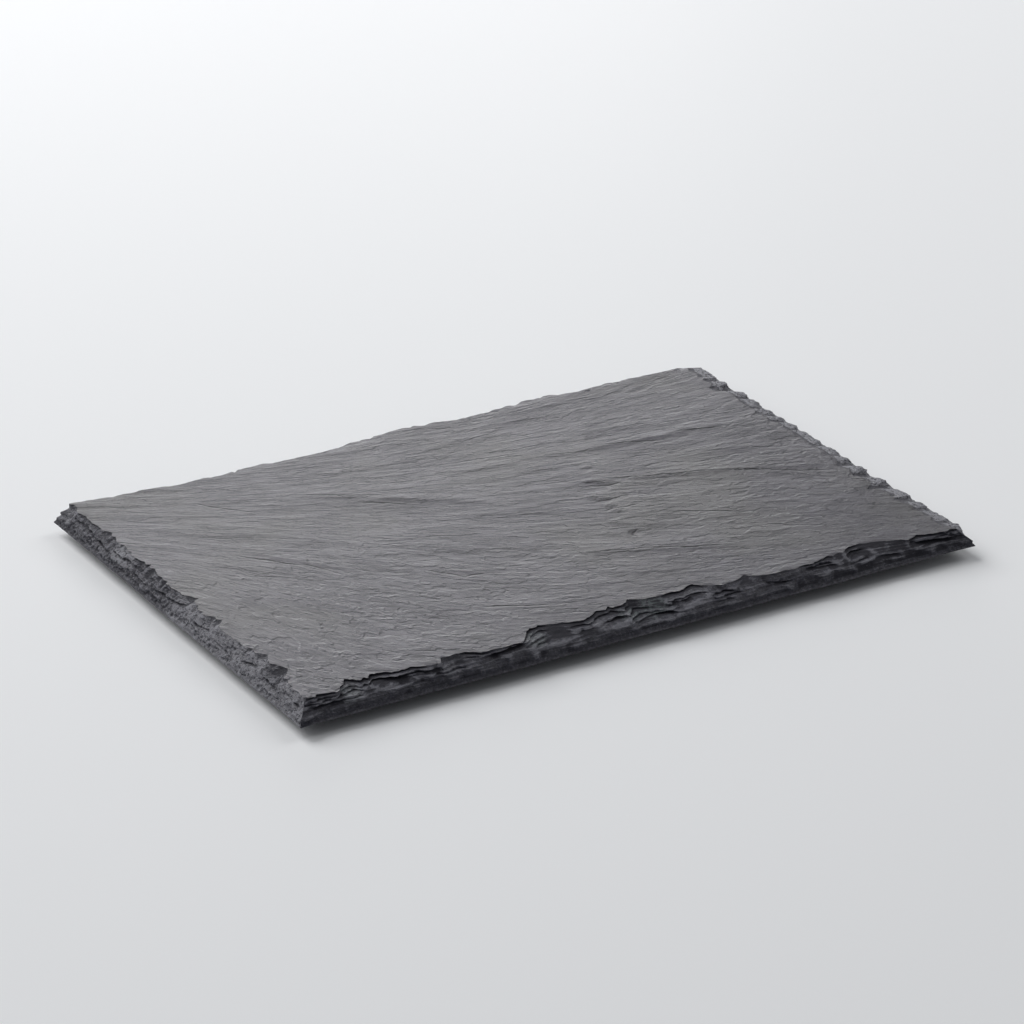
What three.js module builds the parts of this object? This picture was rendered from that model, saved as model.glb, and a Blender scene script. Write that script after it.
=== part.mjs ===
// A riven slate slab with hand-chipped edges, standing on four round rubber feet.
// Millimetres, +Z up. x runs along the long side, y runs to the back, z = 0 is the table top.
import * as THREE from 'three';

// Driving sizes of the slab
const LENGTH = 300;
const DEPTH = 205;
const THICKNESS = 7;

// Driving sizes of the feet, and the glue film between each foot and the slab
const FOOT_HEIGHT = 4.3;
const FOOT_TOP_RADIUS = 7;
const FOOT_REST_RADIUS = 5;
const FOOT_INSET = 28;
const FOOT_BULGE = 0.8;
const GLUE_FILM = 0.3;

// Mesh density: cells along the long and short sides, round the edge, on the riven face and underneath
const EDGE_CELLS = [100, 68];
const TOP_CELLS = [50, 34];
const UNDERSIDE_CELLS = [26, 18];
const FOOT_SEGMENTS = 20;

// Heights of the rings that run round the edge, as shares of the thickness
const EDGE_LEVELS = [0, 0.2, 0.4, 0.58, 0.8, 1];

// How far each corner stands in from the corner of the outline, at the rim and at the underside.
// Above its shelf, a share of the thickness, a corner is broken off as far in as the rim.
const CORNER_INSETS = {
  frontLeft: { rim: [6, 7], base: [0, 0], shelf: 1 },
  frontRight: { rim: [6, 5], base: [0, 0], shelf: 1 },
  backRight: { rim: [8.5, 11], base: [3, 6], shelf: 1 },
  backLeft: { rim: [6.5, 1.2], base: [0, 0], shelf: 0.42 },
};
const SHELF_RISE = 0.35;
const CORNER_BLEND = 9;

// The corners are almost upright over the first share of the thickness and lean in above it
const CORNER_LEAN = { upright: 0.3, below: 0.12 };

// Outline of the rim on each side: place along the side from its middle, and depth in from the edge.
// From RIM_FOLLOW of the thickness up, the edge gives way to this outline.
const FRONT_RIM = [
  [-144, 7.2], [-137, 7.5], [-131, 6.3], [-124, 12.3], [-120, 9.7], [-118, 11.2], [-116.5, 10],
  [-112, 12.8], [-104, 8.6], [-101, 8.5], [-98, 9.9], [-91, 7.4], [-87, 7.4], [-82.5, 10.8],
  [-75, 9.3], [-70, 7.2], [-53, 6.6], [-50, 8.8], [-43.5, 14.8], [-40.5, 16], [-33, 14.2],
  [-25, 10.3], [-22, 10.2], [-16, 14.4], [-6, 14.6], [0, 16], [6, 14.1], [21, 13.4], [27, 16],
  [33, 12], [39, 9.5], [43, 9.6], [48.5, 11.4], [53.5, 8.8], [61, 7.6], [71, 6.7], [77, 8],
  [93, 9.2], [98, 12.2], [102, 12.8], [110, 11.2], [121, 7.2], [126, 7.6], [143, 5],
];
const RIGHT_RIM = [
  [-97, 6.5], [-90, 8.5], [-84, 8.2], [-78, 8.4], [-75, 9.6], [-70, 8.2], [-64, 10.4], [-60, 9],
  [-54, 9.4], [-50, 13.6], [-44, 9.2], [-38, 9.4], [-36, 12.6], [-29, 9], [-24.5, 11.6], [-18, 8],
  [-8, 8], [0, 9.2], [8, 7.6], [24, 8.6], [26, 10.4], [29, 8.4], [34, 9.2], [47, 8.8], [60, 8],
  [64, 8.8], [66.5, 13], [71, 8.6], [78, 9], [91.5, 8.5],
];
const BACK_RIM = [
  [-143.5, 1.2], [-133, 2.6], [-120, 3.6], [-108, 4.4], [-101, 6.6], [-77, 7.2], [-72, 6.4],
  [-58, 5.8], [-50, 7], [-34, 8.6], [-25, 7.6], [-20, 5.8], [-10, 6], [0, 4.2], [6, 3.9],
  [20, 6.2], [27, 8], [42, 8], [50, 7.2], [64, 5.4], [69, 4.8], [74, 5.4], [80, 7.2], [90, 9.6],
  [95, 8.8], [99, 6.8], [112, 8], [128, 9.4], [134, 9], [141, 11],
];
const LEFT_RIM = [
  [-96, 5.5], [-82, 6], [-76, 7], [-71, 12.2], [-62, 8], [-56.5, 10.8], [-53, 7.8], [-40, 6.4],
  [-27, 6.3], [-22, 8.6], [-18, 8.3], [-13, 6], [-5, 7], [-1, 9.7], [5, 7.2], [16, 6.4],
  [32, 7.3], [45, 6.4], [68, 7.3], [88, 5.8], [101, 6.5],
];
const RIM_FOLLOW = 0.35;

// Chips struck off each side, placed along the side from its middle: one end, the deepest place,
// the other end, depth at the rim, share of the thickness below the chip, and hollow of its face
const FRONT_CHIPS = [
  [-152, -138, -130, 8.3, 0.35, 1.1], [-132, -124, -118, 12.3, 0.5, 1.3],
  [-119, -112, -101, 13, 0.52, 1.15], [-102, -98, -84, 9.6, 0.48, 1],
  [-87, -81, -68, 10.6, 0.4, 1.2], [-70, -60, -51, 7.2, 0.3, 1],
  [-54, -41, -21, 15.8, 0.45, 1.15], [-25, -10, -2, 17, 0.5, 1.1],
  [-7, 2, 17, 15.6, 0.32, 1.3], [10, 25, 36, 15.6, 0.58, 1], [32, 38, 45, 9.5, 0.3, 1.2],
  [42, 47, 53, 10.8, 0.42, 1.1], [50, 55, 69, 8.6, 0.25, 1.15], [67, 78, 91, 8.4, 0.35, 1.2],
  [88, 101, 120, 13.5, 0.42, 1.1], [117, 123, 143, 8.8, 0.35, 1],
];
const RIGHT_CHIPS = [
  [-91, -87, -84.5, 9.5, 0.62, 1.1], [-80, -75, -72.5, 10.5, 0.6, 1.1],
  [-69, -64, -61.5, 11, 0.6, 1.1], [-56, -49, -43, 13.4, 0.5, 1.1],
  [-41, -35, -30, 12.6, 0.52, 1.1], [-28, -23.5, -19, 11.8, 0.55, 1.1],
  [-17, -13, -10.5, 9.5, 0.62, 1.1], [-5, 0, 2.5, 10, 0.6, 1.1], [12, 17, 19.5, 9.5, 0.62, 1.1],
  [21, 25.5, 28.5, 10.4, 0.58, 1.1], [30, 34, 36.5, 9.6, 0.62, 1.1], [38, 44, 48, 10, 0.58, 1.1],
  [50, 55, 57.5, 9.3, 0.62, 1.1], [61, 66.5, 70.5, 13, 0.5, 1.1], [72, 77, 80, 10, 0.6, 1.1],
];
const BACK_CHIPS = [
  [-148, -122, -107, 5.5, 0.4, 1.1], [-112, -95, -80, 7.5, 0.45, 1.2], [-83, -63, -55, 9.5, 0.4, 1.1],
  [-58, -42, -14, 11, 0.5, 1.2], [-17, -6, 5, 7, 0.4, 1.15], [11, 22, 30, 8.5, 0.45, 1.2],
  [28, 42, 57, 10.5, 0.5, 1.15], [53, 64, 75, 7, 0.4, 1.1], [72, 90, 113, 11.5, 0.5, 1.2],
  [108, 130, 149, 12, 0.45, 1.15],
];
const LEFT_CHIPS = [
  [-98, -88, -77, 6, 0.35, 1.1], [-76, -71, -54, 10, 0.48, 1.2], [-57, -48, -38, 5.8, 0.4, 1.1],
  [-40, -30, -21, 5.2, 0.35, 1], [-23, -15, -7, 6.2, 0.45, 1.15], [-6, -1, 28, 9, 0.45, 1.2],
  [26, 36, 47, 5.4, 0.3, 1], [44, 55, 67, 4.8, 0.45, 1.2], [64, 78, 92, 5.6, 0.38, 1.1],
  [87, 103, 118, 6, 0.42, 5],
];

// The bevel left between the chips: its depth at the rim and the share of the thickness below it,
// and how much both change along the side. Under it the rough lower face is almost upright.
const BEVELS = {
  front: { depth: 6.6, foot: 0.28 },
  right: { depth: 8.3, foot: 0.8 },
  back: { depth: 5.5, foot: 0.3 },
  left: { depth: 4.4, foot: 0.3 },
};
const BEVEL_CHANGE = { depth: 0.5, foot: 0.83, along: 9 };
const BEVEL_HOLLOW = 1.2;
const LOWER_FACE_LEAN = 0.9;
const EDGE_ROUGHNESS = { depth: 1, along: 5, up: 3, from: 0.25 };
const OUTLINE_WAVE = { depth: 0.5, along: 14 };

// How a chip rounds off towards its ends, and how far the rings round the edge wander up and down
const CHIP_BOW = 1.6;
const RING_WANDER = { share: 0.1, cells: 3 };

// The strip between the rim and the even cells of the riven face, and how far those cells follow it
const RIM_STRIP = 3.5;
const RIM_REACH = 45;

// Lines of the riven grain, as the level curves of one cubic in x and y (units of GRAIN_UNIT)
const GRAIN_UNIT = 100;
const GRAIN = { x: 0.47, xx: -0.18, yy: 0.45, xxx: 0.065, xxy: -0.105, xyy: -0.06, yyy: 0.4 };
const GRAIN_SPREAD = 0.8;

// Ledges that follow the grain: start and end in x, level of the grain line at each, height
const LEDGES = [
  [40, 135, 0.32, 0.29, 0.3], [58, 122, 0.71, 0.76, 0.25], [-53, -33, -0.52, -0.51, 0.22],
  [-62, 2, 0.47, 0.16, 0.25], [-102, -76, -0.52, -0.6, 0.25], [8, 64, -0.33, -0.34, 0.28],
  [70, 96, 1.1, 1.1, 0.2], [14, 34, -0.53, -0.52, 0.2],
];
const LEDGE_FADE = 0.12;
const LEDGE_END = 12;

// The broken step that crosses the grain, and the small pit at its lower end
const STEP = { x: 41, slope: 0.26, low: -42, high: 34, height: 0.35, width: 5, fade: 26 };
const PIT = { x: 34, y: -37, length: 3.5, width: 3, depth: 0.4 };

// Long swells of the riven face and hollows of the underside: height, and length along and across
const SWELL = { height: 0.3, along: 60, across: 17 };
const RIPPLE = { height: 0.18, along: 26, across: 7 };
const HOLLOW = { height: 0.7, along: 48, across: 22 };
const LANDING = { flat: 10, blend: 22 };

// Worked-out sizes
const HALF_LENGTH = LENGTH / 2;
const HALF_DEPTH = DEPTH / 2;
const UNDERSIDE = FOOT_HEIGHT + GLUE_FILM;

// Finishes
const slate = new THREE.MeshStandardMaterial({ color: 0x55555b, roughness: 0.62, metalness: 0 });
const rubber = new THREE.MeshStandardMaterial({ color: 0x1c1c1d, roughness: 0.8, metalness: 0 });

// Small maths
const clamp01 = (t) => Math.min(1, Math.max(0, t));
const smooth = (t) => clamp01(t) ** 2 * (3 - 2 * clamp01(t));
const mix = (a, b, t) => a + (b - a) * t;

// A fixed pseudo-random number from 0 to 1 for a whole-number cell
function chance(i, j, seed) {
  const wave = Math.sin(i * 12.9898 + j * 78.233 + seed * 37.719) * 43758.5453;
  return wave - Math.floor(wave);
}

// Smooth noise from 0 to 1 over the plane
function noise(p, q, seed) {
  const i = Math.floor(p);
  const j = Math.floor(q);
  const s = smooth(p - i);
  const t = smooth(q - j);
  const near = mix(chance(i, j, seed), chance(i + 1, j, seed), s);
  const far = mix(chance(i, j + 1, seed), chance(i + 1, j + 1, seed), s);
  return mix(near, far, t);
}

// The grain line through a point: the same number all along one line
function grainLevel(x, y) {
  const u = x / GRAIN_UNIT;
  const v = y / GRAIN_UNIT;
  return v + GRAIN.x * u + GRAIN.xx * u * u + GRAIN.yy * v * v
    + GRAIN.xxx * u ** 3 + GRAIN.xxy * u * u * v + GRAIN.xyy * u * v * v + GRAIN.yyy * v ** 3;
}

// Distance across the grain, in millimetres, evened out where the lines crowd together
function acrossGrain(x, y) {
  return Math.atan(GRAIN_SPREAD * grainLevel(x, y)) / GRAIN_SPREAD * GRAIN_UNIT;
}

// Riven texture of one kind: noise stretched along the grain, from 0 to its height
function riven(kind, x, y, seed) {
  return kind.height * noise((x - y) / kind.along, acrossGrain(x, y) / kind.across, seed);
}

// One ledge: full height just behind its line, fading away across the grain and at its ends
function ledgeHeight([start, end, levelStart, levelEnd, height], x, y) {
  const line = mix(levelStart, levelEnd, clamp01((x - start) / (end - start)));
  const behind = grainLevel(x, y) - line;
  const ends = smooth((x - start) / LEDGE_END + 0.5) * smooth((end - x) / LEDGE_END + 0.5);
  return behind < 0 ? 0 : height * ends * clamp01(1 - behind / LEDGE_FADE);
}

// The broken step across the grain: its right side stands higher and fades away
function stepHeight(x, y) {
  const right = x - STEP.x - STEP.slope * y;
  const ends = smooth((y - STEP.low) / LEDGE_END) * smooth((STEP.high - y) / LEDGE_END);
  return STEP.height * ends * smooth(right / STEP.width + 0.5) * clamp01(1 - right / STEP.fade);
}

// The small pit
function pitDepth(x, y) {
  const reach = Math.hypot((x - PIT.x) / PIT.length, (y - PIT.y) / PIT.width);
  return PIT.depth * clamp01(1 - reach);
}

// Height of the riven upper face over its lowest plane
function topRelief(x, y) {
  const ledges = LEDGES.reduce((sum, ledge) => sum + ledgeHeight(ledge, x, y), 0);
  return riven(SWELL, x, y, 1) + riven(RIPPLE, x, y, 2) + ledges + stepHeight(x, y) - pitDepth(x, y);
}

const topHeight = (x, y) => UNDERSIDE + THICKNESS - SWELL.height + topRelief(x, y);

// Places of the feet
const FOOT_PLACES = [
  ['foot_front_left', -1, -1], ['foot_front_right', 1, -1],
  ['foot_back_left', -1, 1], ['foot_back_right', 1, 1],
].map(([name, sideX, sideY]) => ({
  name, x: sideX * (HALF_LENGTH - FOOT_INSET), y: sideY * (HALF_DEPTH - FOOT_INSET),
}));

// Height of the underside: shallow hollows, and flat landings where the feet are glued
function undersideHeight(x, y) {
  const clearances = FOOT_PLACES.map((foot) => Math.hypot(x - foot.x, y - foot.y));
  const landing = smooth((Math.min(...clearances) - LANDING.flat) / (LANDING.blend - LANDING.flat));
  const border = Math.min(HALF_LENGTH - Math.abs(x), HALF_DEPTH - Math.abs(y));
  return UNDERSIDE + riven(HOLLOW, x, y, 3) * landing * smooth(border / CORNER_BLEND);
}

// How far the edge stands in at a share of the thickness, for one chip
function chipInset([start, deepest, end, depth, foot, hollow], along, level) {
  const reach = along < deepest ? deepest - start : end - deepest;
  const side = Math.abs(along - deepest) / reach;
  if (side >= 1 || level <= foot) return 0;
  const rise = 1 - (1 - (level - foot) / (1 - foot)) ** hollow;
  return depth * (1 - side ** CHIP_BOW) * rise;
}

// The rough bevel between the chips, over the lower face that is almost upright
function bevelInset(bevel, along, level, seed) {
  const change = (most, offset) => most * (noise(along / BEVEL_CHANGE.along, offset, seed) - 0.5);
  const depth = bevel.depth * (1 + change(BEVEL_CHANGE.depth, 5));
  const foot = bevel.foot * (1 + change(BEVEL_CHANGE.foot * (1 - bevel.foot), 9));
  const grip = EDGE_ROUGHNESS.depth * Math.min(1, level / EDGE_ROUGHNESS.from);
  const rough = grip * noise(along / EDGE_ROUGHNESS.along, level * EDGE_ROUGHNESS.up, seed);
  const lean = LOWER_FACE_LEAN * Math.min(1, level / foot);
  const rise = Math.max(0, (level - foot) / (1 - foot)) ** BEVEL_HOLLOW;
  return lean + rough + (depth - LOWER_FACE_LEAN) * rise;
}

// The four sides, in order round the slab. Each runs from one corner to the next, with the corners
// as signs of x and y, and axis is 0 where it lies along x and 1 where it lies along y.
const SIDES = [
  { bevel: BEVELS.front, rim: FRONT_RIM, chips: FRONT_CHIPS, seed: 11, from: [-1, -1], to: [1, -1], axis: 0 },
  { bevel: BEVELS.right, rim: RIGHT_RIM, chips: RIGHT_CHIPS, seed: 12, from: [1, -1], to: [1, 1], axis: 1 },
  { bevel: BEVELS.back, rim: BACK_RIM, chips: BACK_CHIPS, seed: 13, from: [1, 1], to: [-1, 1], axis: 0 },
  { bevel: BEVELS.left, rim: LEFT_RIM, chips: LEFT_CHIPS, seed: 14, from: [-1, 1], to: [-1, -1], axis: 1 },
];
const HALVES = [HALF_LENGTH, HALF_DEPTH];

// A corner of the edge at a share of the thickness: upright at first, then leaning in
function cornerPoint(signs, level) {
  const ends = signs[1] < 0 ? ['frontLeft', 'frontRight'] : ['backLeft', 'backRight'];
  const { rim, base, shelf } = CORNER_INSETS[ends[signs[0] < 0 ? 0 : 1]];
  const above = Math.max(0, (level - CORNER_LEAN.upright) / (1 - CORNER_LEAN.upright));
  const leaning = mix(above, level, CORNER_LEAN.below);
  const rise = Math.max(leaning, smooth((level - shelf) / SHELF_RISE));
  return signs.map((sign, axis) => sign * (HALVES[axis] - mix(base[axis], rim[axis], rise)));
}

// How far the bevel and the chips stand in at a place along a side
function brokenInset(side, along, level) {
  const chips = side.chips.map((chip) => chipInset(chip, along, level));
  const wave = OUTLINE_WAVE.depth * noise(along / OUTLINE_WAVE.along, 0, side.seed);
  return wave + Math.max(bevelInset(side.bevel, along, level, side.seed), ...chips);
}

// Depth of the rim at a place along a side, straight between the points of its outline
function rimDepth(rim, along) {
  const next = rim.findIndex(([place]) => place > along);
  if (next <= 0) return rim[next < 0 ? rim.length - 1 : 0][1];
  const [[start, first], [end, last]] = [rim[next - 1], rim[next]];
  return mix(first, last, (along - start) / (end - start));
}

// How far a side stands in at a place along it, away from its corners
function sideInset(side, along, level) {
  const follow = clamp01((level - RIM_FOLLOW) / (1 - RIM_FOLLOW));
  const scale = rimDepth(side.rim, along) / brokenInset(side, along, 1);
  return brokenInset(side, along, level) * mix(1, scale, follow);
}

// A point of the edge, by share along the side and share of the thickness. A strip more than zero
// gives a point that far inside the deepest place near by.
function edgePoint(side, share, level, strip = 0) {
  const [start, end] = [cornerPoint(side.from, level), cornerPoint(side.to, level)];
  const place = [mix(start[0], end[0], share), mix(start[1], end[1], share)];
  const across = 1 - side.axis;
  const along = place[side.axis];
  const weight = smooth((HALVES[side.axis] - Math.abs(along) - 2) / CORNER_BLEND);
  const near = strip > 0 ? [-1, -0.5, 0, 0.5, 1].map((t) => along + t * strip) : [along];
  const inset = Math.max(...near.map((at) => sideInset(side, at, level)));
  place[across] = mix(place[across], side.from[across] * (HALVES[across] - inset), weight);
  place[across] -= side.from[across] * strip;
  place[side.axis] *= 1 - strip / HALVES[side.axis];
  return new THREE.Vector2(...place);
}

// The rings of the edge, from the underside's outline up to the rim, each round all four sides.
// The rings between the first and the last wander up and down, as the breaks in the stone do.
function edgeRings() {
  return EDGE_LEVELS.map((even, index) => SIDES.flatMap((side) => {
    const count = EDGE_CELLS[side.axis];
    const free = index > 0 && index < EDGE_LEVELS.length - 1;
    return Array.from({ length: count }, (unused, k) => {
      const [fromStart, fromEnd] = [k / RING_WANDER.cells, (count - k) / RING_WANDER.cells];
      const wander = free ? RING_WANDER.share * (noise(fromStart, index, side.seed) - 0.5) : 0;
      const level = even + wander * Math.min(1, fromStart, fromEnd);
      const { x, y } = edgePoint(side, k / count, level);
      return new THREE.Vector3(x, y, mix(undersideHeight(x, y), topHeight(x, y), level));
    });
  }));
}

// The points of the riven face: an even grid that follows the rim near it and straightens further in
function rivenFace() {
  const [columns, rows] = TOP_CELLS;
  const point = (i, j) => {
    const share = [i / columns, j / rows];
    const border = [
      edgePoint(SIDES[0], share[0], 1, RIM_STRIP), edgePoint(SIDES[1], share[1], 1, RIM_STRIP),
      edgePoint(SIDES[2], 1 - share[0], 1, RIM_STRIP), edgePoint(SIDES[3], 1 - share[1], 1, RIM_STRIP),
    ];
    const corners = SIDES.map((side) => edgePoint(side, 0, 1, RIM_STRIP));
    const front = corners[0].clone().lerp(corners[1], share[0]);
    const back = corners[3].clone().lerp(corners[2], share[0]);
    const even = front.clone().lerp(back, share[1]);
    const edges = [
      front, corners[1].clone().lerp(corners[2], share[1]),
      back, corners[0].clone().lerp(corners[3], share[1]),
    ];
    const gaps = [
      share[1] * DEPTH, (1 - share[0]) * LENGTH, (1 - share[1]) * DEPTH, share[0] * LENGTH,
    ];
    border.forEach((place, side) => {
      const fade = clamp01(1 - gaps[side] / RIM_REACH) ** 1.3;
      even.addScaledVector(place.sub(edges[side]), fade);
    });
    return new THREE.Vector3(even.x, even.y, topHeight(even.x, even.y));
  };
  return { columns, rows, point };
}

// The underside's points: a plain grid set in from the outline
function undersideFace() {
  const [columns, rows] = UNDERSIDE_CELLS;
  const point = (i, j) => {
    const x = (LENGTH - LENGTH / columns) * (i / columns - 0.5);
    const y = (DEPTH - DEPTH / rows) * (j / rows - 0.5);
    return new THREE.Vector3(x, y, undersideHeight(x, y));
  };
  return { columns, rows, point };
}

// The border of a grid as four rows of points, one for each side in the order of SIDES
function borderRows({ columns, rows, point }) {
  const row = (cells, place) => Array.from({ length: cells + 1 }, (unused, k) => place(k));
  return [
    row(columns, (k) => point(k, 0)), row(rows, (k) => point(columns, k)),
    row(columns, (k) => point(columns - k, rows)), row(rows, (k) => point(0, rows - k)),
  ];
}

// Collects triangles as corner points
class Faces {
  constructor() {
    this.positions = [];
  }

  triangle(a, b, c) {
    [a, b, c].forEach((corner) => this.positions.push(corner.x, corner.y, corner.z));
  }

  quad(a, b, c, d) {
    const short = a.distanceTo(c) <= b.distanceTo(d);
    this.triangle(a, b, short ? c : d);
    if (short) this.triangle(a, c, d);
    else this.triangle(b, c, d);
  }

  // The band between two rings with as many points each, the outer one lower
  band(lower, upper) {
    lower.forEach((point, k) => {
      const next = (k + 1) % lower.length;
      this.quad(point, lower[next], upper[next], upper[k]);
    });
  }

  // The flat-lying band between two rows of points, which need not have as many points each
  zipper(outer, inner, up) {
    const place = (corners) => this.triangle(...(up ? corners : corners.reverse()));
    const [lastOuter, lastInner] = [outer.length - 1, inner.length - 1];
    let i = 0;
    let j = 0;
    while (i < lastOuter || j < lastInner) {
      const outerFirst = (i + 1) / lastOuter <= (j + 1) / lastInner;
      if (j === lastInner || (i < lastOuter && outerFirst)) {
        place([outer[i], outer[i + 1], inner[j]]);
        i += 1;
      } else {
        place([outer[i], inner[j + 1], inner[j]]);
        j += 1;
      }
    }
  }

  // A face that lies flat: all the cells of a grid, and the band between it and a ring round it
  face(grid, ring, up) {
    for (let i = 0; i < grid.columns; i += 1) {
      for (let j = 0; j < grid.rows; j += 1) {
        const cell = [[0, 0], [1, 0], [1, 1], [0, 1]].map(([a, b]) => grid.point(i + a, j + b));
        this.quad(...(up ? cell : cell.reverse()));
      }
    }
    let first = 0;
    borderRows(grid).forEach((inner, index) => {
      const count = EDGE_CELLS[SIDES[index].axis];
      const pick = (unused, k) => ring[(first + k) % ring.length];
      this.zipper(Array.from({ length: count + 1 }, pick), inner, up);
      first += count;
    });
  }

  mesh(name, material) {
    const geometry = new THREE.BufferGeometry();
    geometry.setAttribute('position', new THREE.Float32BufferAttribute(this.positions, 3));
    geometry.computeVertexNormals();
    const mesh = new THREE.Mesh(geometry, material);
    mesh.name = name;
    return mesh;
  }
}

// The slate slab: riven face, chipped edge and underside, as one closed stone
function slateSlab() {
  const faces = new Faces();
  const rings = edgeRings();
  rings.slice(1).forEach((ring, k) => faces.band(rings[k], ring));
  faces.face(rivenFace(), rings[rings.length - 1], true);
  faces.face(undersideFace(), rings[0], false);
  return faces.mesh('slate_slab', slate);
}

// A rubber foot: a turned button with a flat rest and a rounded lower edge
function rubberFoot({ name, x, y }) {
  const rounding = FOOT_TOP_RADIUS - FOOT_REST_RADIUS;
  const steps = [0, 0.35, 0.7, 1];
  const curve = steps.map((t) => new THREE.Vector2(
    FOOT_REST_RADIUS + FOOT_BULGE * rounding * Math.sin(t * Math.PI / 2),
    rounding * (1 - Math.cos(t * Math.PI / 2)),
  ));
  const profile = [
    new THREE.Vector2(0, 0),
    ...curve,
    new THREE.Vector2(FOOT_TOP_RADIUS, FOOT_HEIGHT),
    new THREE.Vector2(0, FOOT_HEIGHT),
  ];
  const geometry = new THREE.LatheGeometry(profile, FOOT_SEGMENTS);
  geometry.rotateX(Math.PI / 2);
  const mesh = new THREE.Mesh(geometry, rubber);
  mesh.name = name;
  mesh.position.set(x, y, 0);
  return mesh;
}

const group = new THREE.Group();
group.add(slateSlab(), ...FOOT_PLACES.map(rubberFoot));

export default group;
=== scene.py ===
"""A riven slate slab with hand-chipped edges on four rubber feet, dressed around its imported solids.

Sizes inside the classes are millimetres in the frame of the solids: x along the slab's long side, y
to the back, z up from the table top. A mesh is turned into metres once, when it is made.
"""
import logging
import math
from dataclasses import dataclass, field
from enum import Enum, IntEnum
from typing import Any, Callable, Optional, Sequence

import bpy
import numpy as np
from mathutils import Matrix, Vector


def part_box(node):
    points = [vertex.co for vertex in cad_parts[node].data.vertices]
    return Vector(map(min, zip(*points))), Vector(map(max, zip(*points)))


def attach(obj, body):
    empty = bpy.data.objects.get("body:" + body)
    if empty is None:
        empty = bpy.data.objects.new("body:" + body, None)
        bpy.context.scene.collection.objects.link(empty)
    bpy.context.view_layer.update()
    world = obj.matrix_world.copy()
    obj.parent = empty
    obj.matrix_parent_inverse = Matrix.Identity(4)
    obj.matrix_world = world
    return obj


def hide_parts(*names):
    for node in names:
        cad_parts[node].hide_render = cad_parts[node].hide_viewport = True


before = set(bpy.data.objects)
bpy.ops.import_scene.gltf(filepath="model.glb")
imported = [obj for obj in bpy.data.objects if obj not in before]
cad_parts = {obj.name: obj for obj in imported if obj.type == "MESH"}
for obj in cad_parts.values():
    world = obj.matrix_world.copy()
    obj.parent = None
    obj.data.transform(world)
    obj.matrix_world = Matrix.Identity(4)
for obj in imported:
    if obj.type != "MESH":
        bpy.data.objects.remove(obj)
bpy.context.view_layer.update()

LOG = logging.getLogger("slate_slab")
MM = 0.001
BODY = "root"
HASH_STEPS = (12.9898, 78.233, 37.719)
HASH_SCALE = 43758.5453
Array = np.ndarray
Colour = tuple[float, ...]
Range = tuple[float, float]


def smooth(t: Array) -> Array:
    """Eases t from 0 to 1 with no slope at either end."""
    t = np.clip(t, 0, 1)
    return t * t * (3 - 2 * t)


def mix(a: Array, b: Array, t: Array) -> Array:
    """Goes from a to b as t goes from 0 to 1."""
    return a + (b - a) * t


def chance(i: Array, j: Array, seed: float) -> Array:
    """Gives a fixed pseudo-random number from 0 to 1 for each whole-number cell."""
    wave = np.sin(i * HASH_STEPS[0] + j * HASH_STEPS[1] + seed * HASH_STEPS[2]) * HASH_SCALE
    return wave - np.floor(wave)


def noise(p: Array, q: Array, seed: float) -> Array:
    """Gives smooth noise from 0 to 1 over the plane, one bump to a cell.

    Args:
        p: Place along the first direction, in cells.
        q: Place along the second direction, in cells.
        seed: Chooses the pattern.

    Returns:
        The noise at each place.
    """
    i, j = np.floor(p), np.floor(q)
    s, t = smooth(p - i), smooth(q - j)
    near = mix(chance(i, j, seed), chance(i + 1, j, seed), s)
    far = mix(chance(i, j + 1, seed), chance(i + 1, j + 1, seed), s)
    return mix(near, far, t)


def jagged(p: Array, row: Array, seed: float) -> Array:
    """Gives noise from 0 to 1 that runs in straight stretches along p, on its own course in each row."""
    i = np.floor(p)
    return mix(chance(i, row, seed), chance(i + 1, row, seed), p - i)


def scoops(p: Array, q: Array, seed: float, tilt: float = 0.5, shallow: float = 0.3,
           reach: float = 1.3) -> Array:
    """Gives overlapping, tilted hollows that meet in sharp ridges, as small conchoidal breaks do.

    Args:
        p: Place along the first direction, in cells.
        q: Place along the second direction, in cells.
        seed: Chooses the pattern.
        tilt: How far each hollow leans, as a share of its depth.
        shallow: Least depth of a hollow, where the deepest is 1.
        reach: Square of the distance at which a hollow ends, in cells.

    Returns:
        Depth at each place, about 0 to 1.
    """
    i, j = np.floor(p), np.floor(q)
    deepest = np.full(np.broadcast(p, q).shape, -1.0)
    for step_i in (-1, 0, 1):
        for step_j in (-1, 0, 1):
            ci, cj = i + step_i, j + step_j
            dp = p - ci - chance(ci, cj, seed)
            dq = q - cj - chance(ci, cj, seed + 1)
            depth = shallow + (1 - shallow) * chance(ci, cj, seed + 2)
            lean = tilt * ((chance(ci, cj, seed + 3) - 0.5) * dp + (chance(ci, cj, seed + 4) - 0.5) * dq)
            deepest = np.maximum(deepest, depth * (1 - (dp * dp + dq * dq) / reach) + lean)
    return deepest


def breaks(place: Array, row: Array, seed: float, courses: Sequence[tuple[float, float]]) -> Array:
    """Adds up jagged courses of breaks, from the longest to the shortest.

    Args:
        place: Place along the breaks, in millimetres.
        row: Which row of breaks to follow.
        seed: Chooses the pattern of the first course; each further one has the next seed.
        courses: Depth and length of the breaks of each course.

    Returns:
        Shift at each place, about zero on average.
    """
    shift = 0
    for k, (depth, length) in enumerate(courses):
        shift = shift + depth * (jagged(place / length, row, seed + k) - 0.5)
    return shift


def weighed(shares: Sequence[float], *values: Any) -> Any:
    """Adds up numbers or shader values, each times its share.

    Args:
        shares: The share of each value.
        values: The values, in the same order.

    Returns:
        The sum.
    """
    total = values[0] * shares[0]
    for value, share in zip(values[1:], shares[1:]):
        total = total + value * share
    return total


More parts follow.
